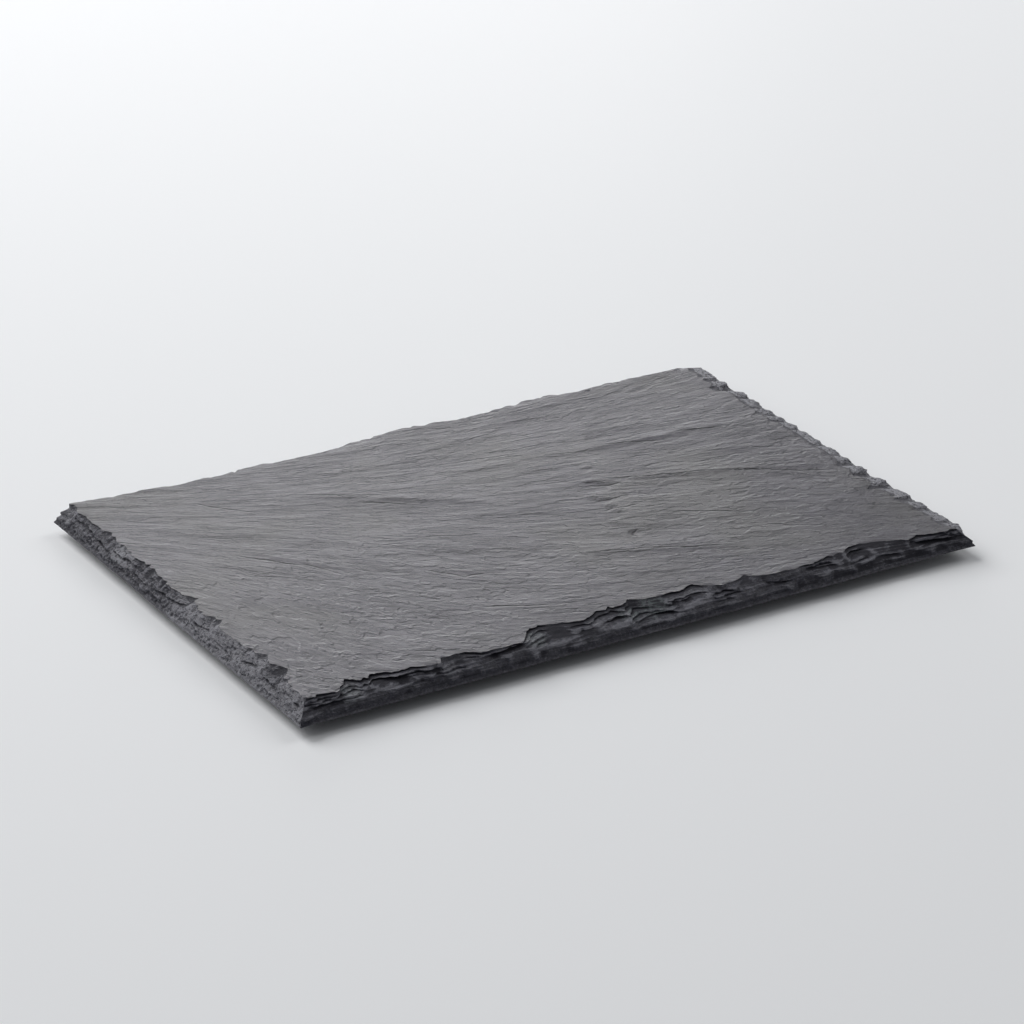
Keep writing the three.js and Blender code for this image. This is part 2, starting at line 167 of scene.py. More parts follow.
def blurred(values: Array, reach: Sequence[int]) -> Array:
    """Gives the mean of each value's neighbours, up to the reach in rows and in columns.

    Args:
        values: A value for each station and ring.
        reach: How many neighbours to each side count, in rows and in columns.

    Returns:
        The mean round each value.
    """
    for axis, steps in enumerate(reach):
        width = 2 * steps + 1
        edges = [(steps + 1, steps) if axis == a else (0, 0) for a in range(values.ndim)]
        total = np.cumsum(np.pad(values, edges, mode="edge"), axis)
        ahead = np.take(total, range(width, total.shape[axis]), axis)
        values = (ahead - np.take(total, range(total.shape[axis] - width), axis)) / width
    return values


class Pattern(IntEnum):
    """What is added to a side's seed, so that each of its textures has a pattern of its own."""

    LEAST = 3
    SMALL = 5
    GRIT = 9
    LAYERS = 20
    LAYERS_FINE = 21
    FLAKE_RUNS = 22
    OUTLINE = 30
    FLAKES = 33
    PATCHES = 40


@dataclass(frozen=True)
class Texture:
    """Noise stretched along the grain: its height, and its length along and across the grain."""

    height: float
    along: float
    across: float
    seed: int


@dataclass(frozen=True)
class Grain:
    """The lines of the riven grain, as the level curves of one cubic in x and y."""

    unit: float = 100
    x: float = 0.47
    xx: float = -0.18
    yy: float = 0.45
    xxx: float = 0.065
    xxy: float = -0.105
    xyy: float = -0.06
    yyy: float = 0.4
    spread: float = 0.8

    def level(self, u: Any, v: Any) -> Any:
        """Gives the grain line through a point in grain units, for numbers or shader values."""
        return (v + self.x * u + self.xx * (u * u) + self.yy * (v * v) + self.xxx * (u * u * u)
                + self.xxy * (u * u * v) + self.xyy * (u * v * v) + self.yyy * (v * v * v))

    def across(self, x: Array, y: Array) -> Array:
        """Gives the distance across the grain, evened out where its lines crowd together."""
        level = self.level(x / self.unit, y / self.unit)
        return np.arctan(self.spread * level) / self.spread * self.unit

    def texture(self, kind: Texture, x: Array, y: Array) -> Array:
        """Gives a riven texture from 0 to its height."""
        return kind.height * noise((x - y) / kind.along, self.across(x, y) / kind.across, kind.seed)


@dataclass(frozen=True)
class Ledge:
    """A ledge that follows the grain, from one x to another, with the grain level at each."""

    start: float
    end: float
    level_start: float
    level_end: float
    height: float
    fade: float = 0.12
    taper: float = 12

    def height_at(self, grain: Grain, x: Array, y: Array) -> Array:
        """Gives full height just behind the line, fading across the grain and at the ends.

        Args:
            grain: The lines of the grain.
            x: Place along the slab's long side, in millimetres.
            y: Place towards the back, in millimetres.

        Returns:
            Height over the face, in millimetres.
        """
        share = np.clip((x - self.start) / (self.end - self.start), 0, 1)
        line = mix(self.level_start, self.level_end, share)
        behind = grain.level(x / grain.unit, y / grain.unit) - line
        ends = smooth((x - self.start) / self.taper + 0.5) * smooth((self.end - x) / self.taper + 0.5)
        return np.where(behind < 0, 0, self.height * ends * np.clip(1 - behind / self.fade, 0, 1))


@dataclass(frozen=True)
class Step:
    """The broken step that crosses the grain: its right side stands higher and fades away."""

    x: float = 41
    slope: float = 0.26
    low: float = -42
    high: float = 34
    height: float = 0.35
    width: float = 5
    fade: float = 26
    taper: float = 12
    ragged: float = 14
    ragged_middle: float = 0.75
    strand: float = 4
    fine_strands: float = 2.3
    fine_share: float = 0.5
    seed: int = 41

    def height_at(self, x: Array, y: Array, across: Array) -> Array:
        """Gives the height of the step. Each strand of the grain breaks off at a place of its own.

        Args:
            x: Place along the slab's long side, in millimetres.
            y: Place towards the back, in millimetres.
            across: Distance across the grain.

        Returns:
            Height over the face, in millimetres.
        """
        place = jagged(across / self.strand, 0 * x, self.seed)
        place += self.fine_share * jagged(across * self.fine_strands / self.strand, 0 * x, self.seed + 1)
        right = x - self.x - self.slope * y - self.ragged * (place - self.ragged_middle)
        ends = smooth((y - self.low) / self.taper) * smooth((self.high - y) / self.taper)
        return self.height * ends * smooth(right / self.width + 0.5) * np.clip(1 - right / self.fade, 0, 1)


@dataclass(frozen=True)
class Pit:
    """The small pit at the lower end of the step."""

    x: float = 34
    y: float = -37
    length: float = 3.5
    width: float = 3
    depth: float = 0.4

    def depth_at(self, x: Array, y: Array) -> Array:
        """Gives the depth of the pit at each point."""
        return self.depth * np.clip(1 - np.hypot((x - self.x) / self.length, (y - self.y) / self.width), 0, 1)


@dataclass(frozen=True)
class Chip:
    """A chip struck off a side, placed along the side from its middle.

    It runs from start to end and is deepest between them. Foot is the share of the thickness
    below it, and hollow says how much its face is scooped.
    """

    start: float
    deepest: float
    end: float
    depth: float
    foot: float
    hollow: float
    bow: float = 1.6

    def inset(self, along: Array, level: Array) -> Array:
        """Gives how far the edge stands in, from the outline, at each place and level.

        Args:
            along: Place along the side, in millimetres from its middle.
            level: Share of the thickness.

        Returns:
            Inset in millimetres.
        """
        reach = np.where(along < self.deepest, self.deepest - self.start, self.end - self.deepest)
        side = np.clip(np.abs(along - self.deepest) / reach, 0, 1)
        share = np.clip((level - self.foot) / (1 - self.foot), 0, 1)
        return self.depth * (1 - side ** self.bow) * (1 - (1 - share) ** self.hollow)


@dataclass(frozen=True)
class Slit:
    """A thin undercut below a flake: two ends along the side, their levels, depth and height.

    Sharp is the share of the height by which it reaches up under the flake.
    """

    start: float
    end: float
    level_start: float
    level_end: float
    depth: float
    height: float = 0.7
    sharp: float = 0.3
    taper: float = 0.25

    def inset(self, along: Array, level: Array, thickness: float) -> Array:
        """Gives how far the slit cuts in: sharp above, where the flake overhangs, and soft below.

        Args:
            along: Place along the side, in millimetres from its middle.
            level: Share of the thickness.
            thickness: Thickness of the slab.

        Returns:
            Depth of the cut in millimetres.
        """
        share = (along - self.start) / (self.end - self.start)
        ends = smooth(share / self.taper) * smooth((1 - share) / self.taper)
        below = (mix(self.level_start, self.level_end, np.clip(share, 0, 1)) - level) * thickness
        reach = np.where(below > 0, self.height, self.height * self.sharp)
        return self.depth * ends * np.exp(-(below / reach) ** 2)


@dataclass(frozen=True)
class Bevel:
    """The rough bevel between the chips, over the lower face that is almost upright."""

    depth: float
    foot: float
    depth_change: float = 0.5
    foot_change: float = 0.83
    change_length: float = 9
    lean: float = 0.9
    hollow: float = 1.2
    roughness: float = 1.0
    rough_along: float = 5
    rough_up: float = 3
    rough_from: float = 0.25

    def inset(self, along: Array, level: Array, seed: int) -> Array:
        """Gives how far the bevel stands in at each place and level.

        Args:
            along: Place along the side, in millimetres from its middle.
            level: Share of the thickness.
            seed: Chooses the pattern.

        Returns:
            Inset in millimetres.
        """
        place = along / self.change_length
        depth_row, foot_row = 5 + 0 * place, 9 + 0 * place
        depth = self.depth * (1 + self.depth_change * (noise(place, depth_row, seed) - 0.5))
        foot_change = self.foot_change * (1 - self.foot)
        foot = self.foot * (1 + foot_change * (noise(place, foot_row, seed) - 0.5))
        rough = self.roughness * noise(along / self.rough_along, level * self.rough_up, seed)
        rough = rough * np.minimum(1, level / self.rough_from)
        rise = np.clip((level - foot) / (1 - foot), 0, None) ** self.hollow
        return self.lean * np.minimum(1, level / foot) + rough + (depth - self.lean) * rise


@dataclass(frozen=True)
class Crumble:
    """The fine breaks on an edge.

    Large, small and grit are given by depth and by size along and up the edge. Rough foot is how
    much of them is left at the underside, and rough rise how fast they grow from there. Flaking
    says how freely each layer breaks on a course of its own, from which level up, and in runs of
    which length and how many layers. Calm flakes says how much smoother the surface is there. A
    nick is given by the ranges of its depth, its reach to each side, the level of its foot and its
    hollow.
    """

    large: float = 0.9
    large_size: tuple[float, float] = (5.5, 2.6)
    small: float = 0.4
    small_size: tuple[float, float] = (2.1, 1.1)
    grit: float = 0.2
    grit_size: tuple[float, float] = (0.8, 0.6)
    flaking: float = 1.0
    flaking_from: float = 0.4
    flaking_blend: float = 0.15
    flaking_run: Range = (9, 2.5)
    flaking_gain: float = 3
    flaking_loss: float = 0.9
    calm_flakes: float = 0.55
    rough_foot: float = 0.3
    rough_rise: float = 3
    nicks: int = 26
    nick_depth: Range = (0.2, 1.8)
    nick_reach: Range = (0.8, 4.5)
    nick_foot: Range = (0.5, 0.9)
    nick_hollow: Range = (0.8, 1.6)


@dataclass(frozen=True)
class Patch:
    """A stretch of one side's broken stone that is paler, or darker where its amount is negative.

    It runs from start to end along the side and from low to high in shares of the thickness, and
    its lower and upper borders are steeper than its ends. Its paleness is painted light where the
    side faces the lamps and its darkness painted shade where it lies under an overhang, with some
    tone of the stone.
    """

    start: float
    end: float
    low: float
    high: float
    amount: float
    blend: float = 1.5
    steepness: float = 2

    def at(self, along: Array, level: Array, thickness: float) -> Array:
        """Gives the amount, fading over the blend in millimetres at its borders.

        Args:
            along: Place along the side, in millimetres from its middle.
            level: Share of the thickness.
            thickness: Thickness of the slab.

        Returns:
            The amount at each place.
        """
        from_ends = np.minimum(along - self.start, self.end - along)
        from_levels = np.minimum(level - self.low, self.high - level) * thickness * self.steepness
        return self.amount * smooth(np.minimum(from_ends, from_levels) / self.blend + 0.5)


@dataclass(frozen=True)
class Corner:
    """How far a corner stands in from the corner of the outline, at the rim and at the underside.

    Above the shelf's level the layers are broken off as far in as the rim.
    """

    rim: tuple[float, float]
    base: tuple[float, float] = (0, 0)
    shelf: float = 1.0


@dataclass
class Side:
    """One side of the slab, with the corners it runs between given as signs of x and y."""

    name: str
    start: tuple[int, int]
    end: tuple[int, int]
    axis: int
    bevel: Bevel
    rim: Sequence[tuple[float, float]]
    chips: Sequence[Chip]
    seed: int
    stations: int
    crumble: Crumble
    slits: Sequence[Slit] = ()
    patches: Sequence[Patch] = ()
    grainy: float = 1.0
    grainy_to: float = 2.0
    grainy_blend: float = 0.2
    wave: float = 0.5
    wave_length: float = 14
    rim_follow: float = 0.35
    outline_courses: Sequence[tuple[float, float]] = ((2.6, 6.3), (1.6, 2.3))
    flake_courses: Sequence[tuple[float, float]] = ((1.5, 8.1), (1.0, 3.1), (0.5, 1.1))
    flakes_from: float = 0.25
    flakes_blend: float = 0.3
    nick_shift: float = 0.5
    least: float = 0.05
    least_length: float = 2
    nicks: list[Chip] = field(default_factory=list)

    def strike_nicks(self, half: float) -> None:
        """Adds small chips at seeded places all along the rim.

        Args:
            half: Half the length of the side.
        """
        draw = np.random.default_rng(self.seed)
        crumble = self.crumble
        low_foot, high_foot = crumble.nick_foot
        for _ in range(crumble.nicks):
            at = draw.uniform(-half, half)
            left, right = draw.uniform(*crumble.nick_reach, 2)
            depth = draw.uniform(*crumble.nick_depth)
            foot = draw.uniform(max(low_foot, self.bevel.foot), high_foot)
            hollow = draw.uniform(*crumble.nick_hollow)
            self.nicks.append(Chip(at - left, at, at + right, depth, foot, hollow, bow=1.0))

    def main_inset(self, along: Array, level: Array) -> Array:
        """Gives the inset of the bevel, the chips and the rim's outline, as the solid has it too.

        Args:
            along: Place along the side, in millimetres from its middle.
            level: Share of the thickness.

        Returns:
            Inset from the outline in millimetres.
        """
        follow = np.clip((level - self.rim_follow) / (1 - self.rim_follow), 0, 1)
        places, depths = zip(*self.rim)
        scale = np.interp(along, places, depths) / self.struck_inset(along, 1 + 0 * level)
        return self.struck_inset(along, level) * mix(1, scale, follow)

    def struck_inset(self, along: Array, level: Array) -> Array:
        """Gives the inset of the bevel and the chips alone.

        Args:
            along: Place along the side, in millimetres from its middle.
            level: Share of the thickness.

        Returns:
            Inset from the outline in millimetres.
        """
        inset = self.bevel.inset(along, level, self.seed)
        for chip in self.chips:
            inset = np.maximum(inset, chip.inset(along, level))
        return inset + self.wave * noise(along / self.wave_length, 0 * along, self.seed)

    def broken_inset(self, along: Array, level: Array, row: Array) -> Array:
        """Gives the inset of the bevel and all chips, with outlines that run in straight breaks.

        Args:
            along: Place along the side, in millimetres from its middle.
            level: Share of the thickness.
            row: Which course of breaks to follow.

        Returns:
            Inset from the outline in millimetres.
        """
        shift = breaks(along, row, self.seed + Pattern.OUTLINE, self.outline_courses)
        nicked = 0 * along
        for nick in self.nicks:
            nicked = np.maximum(nicked, nick.inset(along + self.nick_shift * shift, level))
        return self.main_inset(along + shift, level) + nicked

    def flake_inset(self, along: Array, layer: Array, level: Array) -> Array:
        """Gives the inset of one split layer, which breaks on its own course.

        Args:
            along: Place along the side, in millimetres from its middle.
            layer: Number of the layer.
            level: Share of the thickness at the layer's middle.

        Returns:
            Inset from the outline in millimetres.
        """
        own = breaks(along, layer, self.seed + Pattern.FLAKES, self.flake_courses)
        free = smooth((level - self.flakes_from) / self.flakes_blend)
        return self.broken_inset(along, level, layer) + own * free

    def roughness(self, along: Array, height: Array) -> Array:
        """Gives the hollows and grit of the broken surface, about zero on average.

        Args:
            along: Place along the side, in millimetres from its middle.
            height: Height over the underside, in millimetres.

        Returns:
            Depth of the surface in millimetres.
        """
        crumble = self.crumble
        rough = 0
        for depth, (length, rise), pattern, seed in (
                (crumble.large, crumble.large_size, scoops, self.seed),
                (crumble.small, crumble.small_size, scoops, self.seed + Pattern.SMALL),
                (crumble.grit, crumble.grit_size, noise, self.seed + Pattern.GRIT)):
            rough = rough + depth * (pattern(along / length, height / rise, seed) - 0.5)
        return rough

    def fine_inset(self, along: Array, rings: "Rings", thickness: float) -> Array:
        """Gives the inset with the small chips, the split layers, the slits and the crumbled surface.

        Args:
            along: Place along the side, in millimetres from its middle.
            rings: Levels of the rings at each station, and the layers they lie in.
            thickness: Thickness of the slab.

        Returns:
            Inset from the outline in millimetres, never less than zero.
        """
        level, crumble = rings.level, self.crumble
        even = self.broken_inset(along, level, 0 * level)
        flake = mix(self.flake_inset(along, rings.layer, rings.middle),
                    self.flake_inset(along, rings.layer + 1, rings.next_middle), rings.turn)
        length, layers = crumble.flaking_run
        runs = noise(along / length, rings.layer / layers, self.seed + Pattern.FLAKE_RUNS)
        upper = smooth((level - crumble.flaking_from) / crumble.flaking_blend)
        flaking = crumble.flaking * smooth(crumble.flaking_gain * runs - crumble.flaking_loss) * upper
        inset = mix(even, flake, flaking)
        rough = self.roughness(along, level * thickness)
        rough = rough * np.minimum(1, crumble.rough_foot + level * crumble.rough_rise)
        inset += rough * (1 - crumble.calm_flakes * flaking)
        for slit in self.slits:
            inset += slit.inset(along, level, thickness)
        least = self.least * noise(along / self.least_length, 0 * along, self.seed + Pattern.LEAST)
        return np.maximum(inset, least)


@dataclass
class Rings:
    """Where the rings of an edge lie at each station: level, layer, and how far to the next layer."""

    level: Array
    layer: Array
    middle: Array
    next_middle: Array
    turn: Array

    @staticmethod
    def rim(count: int, layer: int) -> "Rings":
        """Gives the rim alone, which lies in the top layer."""
        one = np.ones(count)
        return Rings(one, layer * one, one, one, 0 * one)


@dataclass
class StoneMesh:
    """Collects the points and faces of one closed mesh, with named marks on each point."""

    points: list[Array] = field(default_factory=list)
    marks: dict[str, list[Array]] = field(default_factory=lambda: {
        "broken": [], "wear": [], "mineral": [], "pale": [], "grainy": [], "rift": []})
    faces: list[list[int]] = field(default_factory=list)
    count: int = 0

    def add_points(self, points: Array, **marks: Any) -> Array:
        """Adds points and gives their numbers, in the same layout as the points came in.

        Args:
            points: Array of x, y and z in its last direction.
            marks: Values of the named marks; those left out are 0.

        Returns:
            The number of each point.
        """
        shape = points.shape[:-1]
        size = int(np.prod(shape))
        self.points.append(points.reshape(-1, 3))
        for name, values in self.marks.items():
            values.append(np.broadcast_to(marks.get(name, 0.0), shape).ravel())
        self.count += size
        return np.arange(self.count - size, self.count).reshape(shape)

    def add_quads(self, a: Array, b: Array, c: Array, d: Array) -> None:
        """Adds one four-sided face for each place in the four arrays of point numbers."""
        self.faces.extend(np.stack([a.ravel(), b.ravel(), c.ravel(), d.ravel()], 1).tolist())

    def add_zipper(self, outer: Array, inner: Array, up: bool) -> None:
        """Fills the band between two rows of points that need not have as many points each.

        Args:
            outer: Numbers of the outer row's points.
            inner: Numbers of the inner row's points.
            up: Whether the faces look up.
        """
        i = j = 0
        last_outer, last_inner = len(outer) - 1, len(inner) - 1
        while i < last_outer or j < last_inner:
            outer_first = (i + 1) / last_outer <= (j + 1) / last_inner
            if j == last_inner or (i < last_outer and outer_first):
                face = [int(outer[i]), int(outer[i + 1]), int(inner[j])]
                i += 1
            else:
                face = [int(outer[i]), int(inner[j + 1]), int(inner[j])]
                j += 1
            self.faces.append(face if up else face[::-1])

    def build(self, name: str, crease: float) -> bpy.types.Object:
        """Makes the object, smooth but for edges sharper than the crease angle in degrees.

        Args:
            name: Name of the object and its mesh.
            crease: Angle between faces, in degrees, from which an edge is sharp.

        Returns:
            The object, in metres.
        """
        mesh = bpy.data.meshes.new(name)
        mesh.from_pydata((np.concatenate(self.points) * MM).tolist(), [], self.faces)
        mesh.polygons.foreach_set("use_smooth", [True] * len(mesh.polygons))
        mesh.set_sharp_from_angle(angle=math.radians(crease))
        for mark, values in self.marks.items():
            attribute = mesh.attributes.new(mark, "FLOAT", "POINT")
            attribute.data.foreach_set("value", np.concatenate(values).astype(np.float32))
        mesh.update()
        piece = bpy.data.objects.new(name, mesh)
        bpy.context.scene.collection.objects.link(piece)
        return piece


def operator(operation: str, reflected: bool = False) -> Callable[["Wire", Any], "Wire"]:
    """Makes the method of a shader value for one arithmetic sign.

    Args:
        operation: Operation of the Math node.
        reflected: Whether the other value stands on the left of the sign.

    Returns:
        The method.
    """
    def method(wire: "Wire", other: Any) -> "Wire":
        """Adds the node."""
        return wire.graph.math(operation, *((other, wire) if reflected else (wire, other)))
    return method


class Wire:
    """A shader value. Python arithmetic on it adds Math nodes."""

    def __init__(self, graph: "Graph", socket: bpy.types.NodeSocket) -> None:
        """Wraps one output socket of a graph."""
        self.graph = graph
        self.socket = socket

    def math(self, operation: str, *others: Any) -> "Wire":
        """Adds one Math node on this value and any others."""
        return self.graph.math(operation, self, *others)

    __add__ = __radd__ = operator("ADD")
    __mul__ = __rmul__ = operator("MULTIPLY")
    __sub__ = operator("SUBTRACT")
    __rsub__ = operator("SUBTRACT", True)
    __truediv__ = operator("DIVIDE")
    __rtruediv__ = operator("DIVIDE", True)


class Graph:
    """The node tree of one material."""

    def __init__(self, name: str) -> None:
        """Starts a material with an empty node tree.

        Args:
            name: Name of the material.
        """
        self.material = bpy.data.materials.new(name)
        self.material.use_nodes = True
        self.tree = self.material.node_tree
        self.tree.nodes.clear()

    def node(self, kind: str, settings: Optional[dict[str, Any]] = None,
             inputs: Optional[dict[Any, Any]] = None) -> bpy.types.Node:
        """Adds one node.

        Args:
            kind: Blender's type of the node, without its Shader prefix.
            settings: Settings of the node, set first.
            inputs: Values or wires of its sockets, by name or number.

        Returns:
            The new node.
        """
        made = self.tree.nodes.new("ShaderNode" + kind)
        for key, value in (settings or {}).items():
            setattr(made, key, value)
        for key, value in (inputs or {}).items():
            if isinstance(value, Wire):
                self.tree.links.new(value.socket, made.inputs[key])
            else:
                made.inputs[key].default_value = value
        return made

    def wire(self, node: bpy.types.Node, output: Any = 0) -> Wire:
        """Gives one output of a node as a shader value."""
        return Wire(self, node.outputs[output])

    def math(self, operation: str, *values: Any) -> Wire:
        """Adds a Math node on values or wires."""
        return self.wire(self.node("Math", {"operation": operation}, dict(enumerate(values))))

    def limit(self, value: Wire, low: float, high: float) -> Wire:
        """Spreads a value from low to high smoothly over 0 to 1."""
        return self.wire(self.node("MapRange", {"interpolation_type": "SMOOTHSTEP"},
                                   {"Value": value, "From Min": low, "From Max": high}))

    def noise(self, vector: Wire, scale: float, detail: float = 3, roughness: float = 0.55) -> Wire:
        """Adds a Noise Texture and gives its value, centred near a half."""
        return self.wire(self.node("TexNoise", {}, {
            "Vector": vector, "Scale": scale, "Detail": detail, "Roughness": roughness}))

    def mark(self, name: str) -> Wire:
        """Gives the value of a mark that the mesh holds on its points."""
        return self.wire(self.node("Attribute", {"attribute_name": name}), "Fac")

    def vector(self, x: Any, y: Any, z: Any) -> Wire:
        """Joins three values into a vector."""
        return self.wire(self.node("CombineXYZ", {}, {"X": x, "Y": y, "Z": z}))

    def blend(self, factor: Any, a: Any, b: Any) -> Wire:
        """Mixes two colours."""
        return self.wire(self.node("Mix", {"data_type": "RGBA"}, {0: factor, 6: a, 7: b}), 2)

    def surface(self, inputs: dict[str, Any]) -> bpy.types.Material:
        """Adds the Principled shader and the output, and gives the material.

        Args:
            inputs: Values or wires of the shader's sockets, by name.

        Returns:
            The material.
        """
        shader = self.node("BsdfPrincipled", {}, inputs)
        self.node("OutputMaterial", {}, {"Surface": self.wire(shader)})
        return self.material


def grey(value: float, tint: tuple[float, float, float] = (1, 1, 1)) -> Colour:
    """Gives an opaque colour of one lightness with a tint."""
    return (*(value * t for t in tint), 1.0)


@dataclass(frozen=True)
class Specks:
    """Noise with no direction. Its scale is the number of bumps to one unit of the place."""

    scale: float
    detail: float
    roughness: float = 0.55

    def build(self, g: Graph, place: Wire) -> Wire:
        """Gives the noise, centred near a half."""
        return g.noise(place, self.scale, self.detail, self.roughness)


@dataclass(frozen=True)
class Lamina:
    """The edges of thin split layers on the riven face, as the contour lines of a stretched noise.

    Lengths are millimetres along and across the grain, and the rise is the height of one layer.
    """

    along: float
    across: float
    count: float
    rise: float
    seed: float
    edge: float = 0.22
    texture: Specks = Specks(1, 4, 0.62)

    def build(self, g: Graph, along: Wire, across: Wire) -> tuple[Wire, Wire]:
        """Gives the height in millimetres, and a mark that is 1 on the layers' edges.

        Args:
            g: The material's graph.
            along: Distance along the grain.
            across: Distance across the grain.

        Returns:
            The height and the mark.
        """
        place = g.vector(along / self.along, across / self.across, self.seed)
        level = self.texture.build(g, place) * self.count
        whole = level.math("FLOOR")
        turn = g.limit(level - whole, 1 - self.edge, 1.0)
        return (whole + turn) * self.rise, turn * (1 - turn) * 4


@dataclass(frozen=True)
class Streaks:
    """Noise of the riven face, with its length along and across the grain in millimetres."""

    along: float
    across: float
    seed: float
    detail: float
    roughness: float

    def build(self, g: Graph, along: Wire, across: Wire) -> Wire:
        """Gives the noise, centred near a half."""
        place = g.vector(along / self.along, across / self.across, self.seed)
        return g.noise(place, 1, self.detail, self.roughness)


@dataclass(frozen=True)
class Crack:
    """A thin dark crack in the riven face, from one point to another, in millimetres."""

    start_x: float
    start_y: float
    end_x: float
    end_y: float
    width: float = 0.75
    core: float = 0.3
    taper: Range = (-0.05, 0.2)

    def build(self, g: Graph, x: Wire, y: Wire) -> Wire:
        """Gives a mark that is 1 along the crack and tapers at its ends.

        Args:
            g: The material's graph.
            x: Place along the slab's long side, in millimetres.
            y: Place towards the back, in millimetres.

        Returns:
            The mark.
        """
        run, rise = self.end_x - self.start_x, self.end_y - self.start_y
        length = math.hypot(run, rise)
        right, up = x - self.start_x, y - self.start_y
        share = right * (run / length ** 2) + up * (rise / length ** 2)
        off = (right * (rise / length) - up * (run / length)).math("ABSOLUTE")
        ends = g.limit(share, *self.taper) * g.limit(1 - share, *self.taper)
        return g.limit(off * -1, -self.width, -self.width * self.core) * ends


FACE_CRACKS = [Crack(*ends) for ends in (
    (-61, 61, -32, 44), (-45, 44, -28, 32), (-53, -24, -43, -36), (-43, -36, -35, -38),
    (-91, 6, -82, -11), (49, 13, 95, -3), (95, -3, 137, -28), (100, 38, 121, 32), (67, 42, 92, 34),
    (53, -25, 87, -44), (82, -56, 105, -71), (13, -44, 30, -51), (30, -51, 58, -64),
    (-50, -63, -27, -75), (42, 10, 61, 2), (36, -5, 52, -6), (34, -13, 50, -15),
    (-143, 59, -135, 52), (-109, 24, -92, 5), (-101, 76, -84, 55), (94, 56, 100, 54),
    (32.7, -36.5, 36.6, -34.5), (32.7, -36.5, 33.5, -40.2),
)]


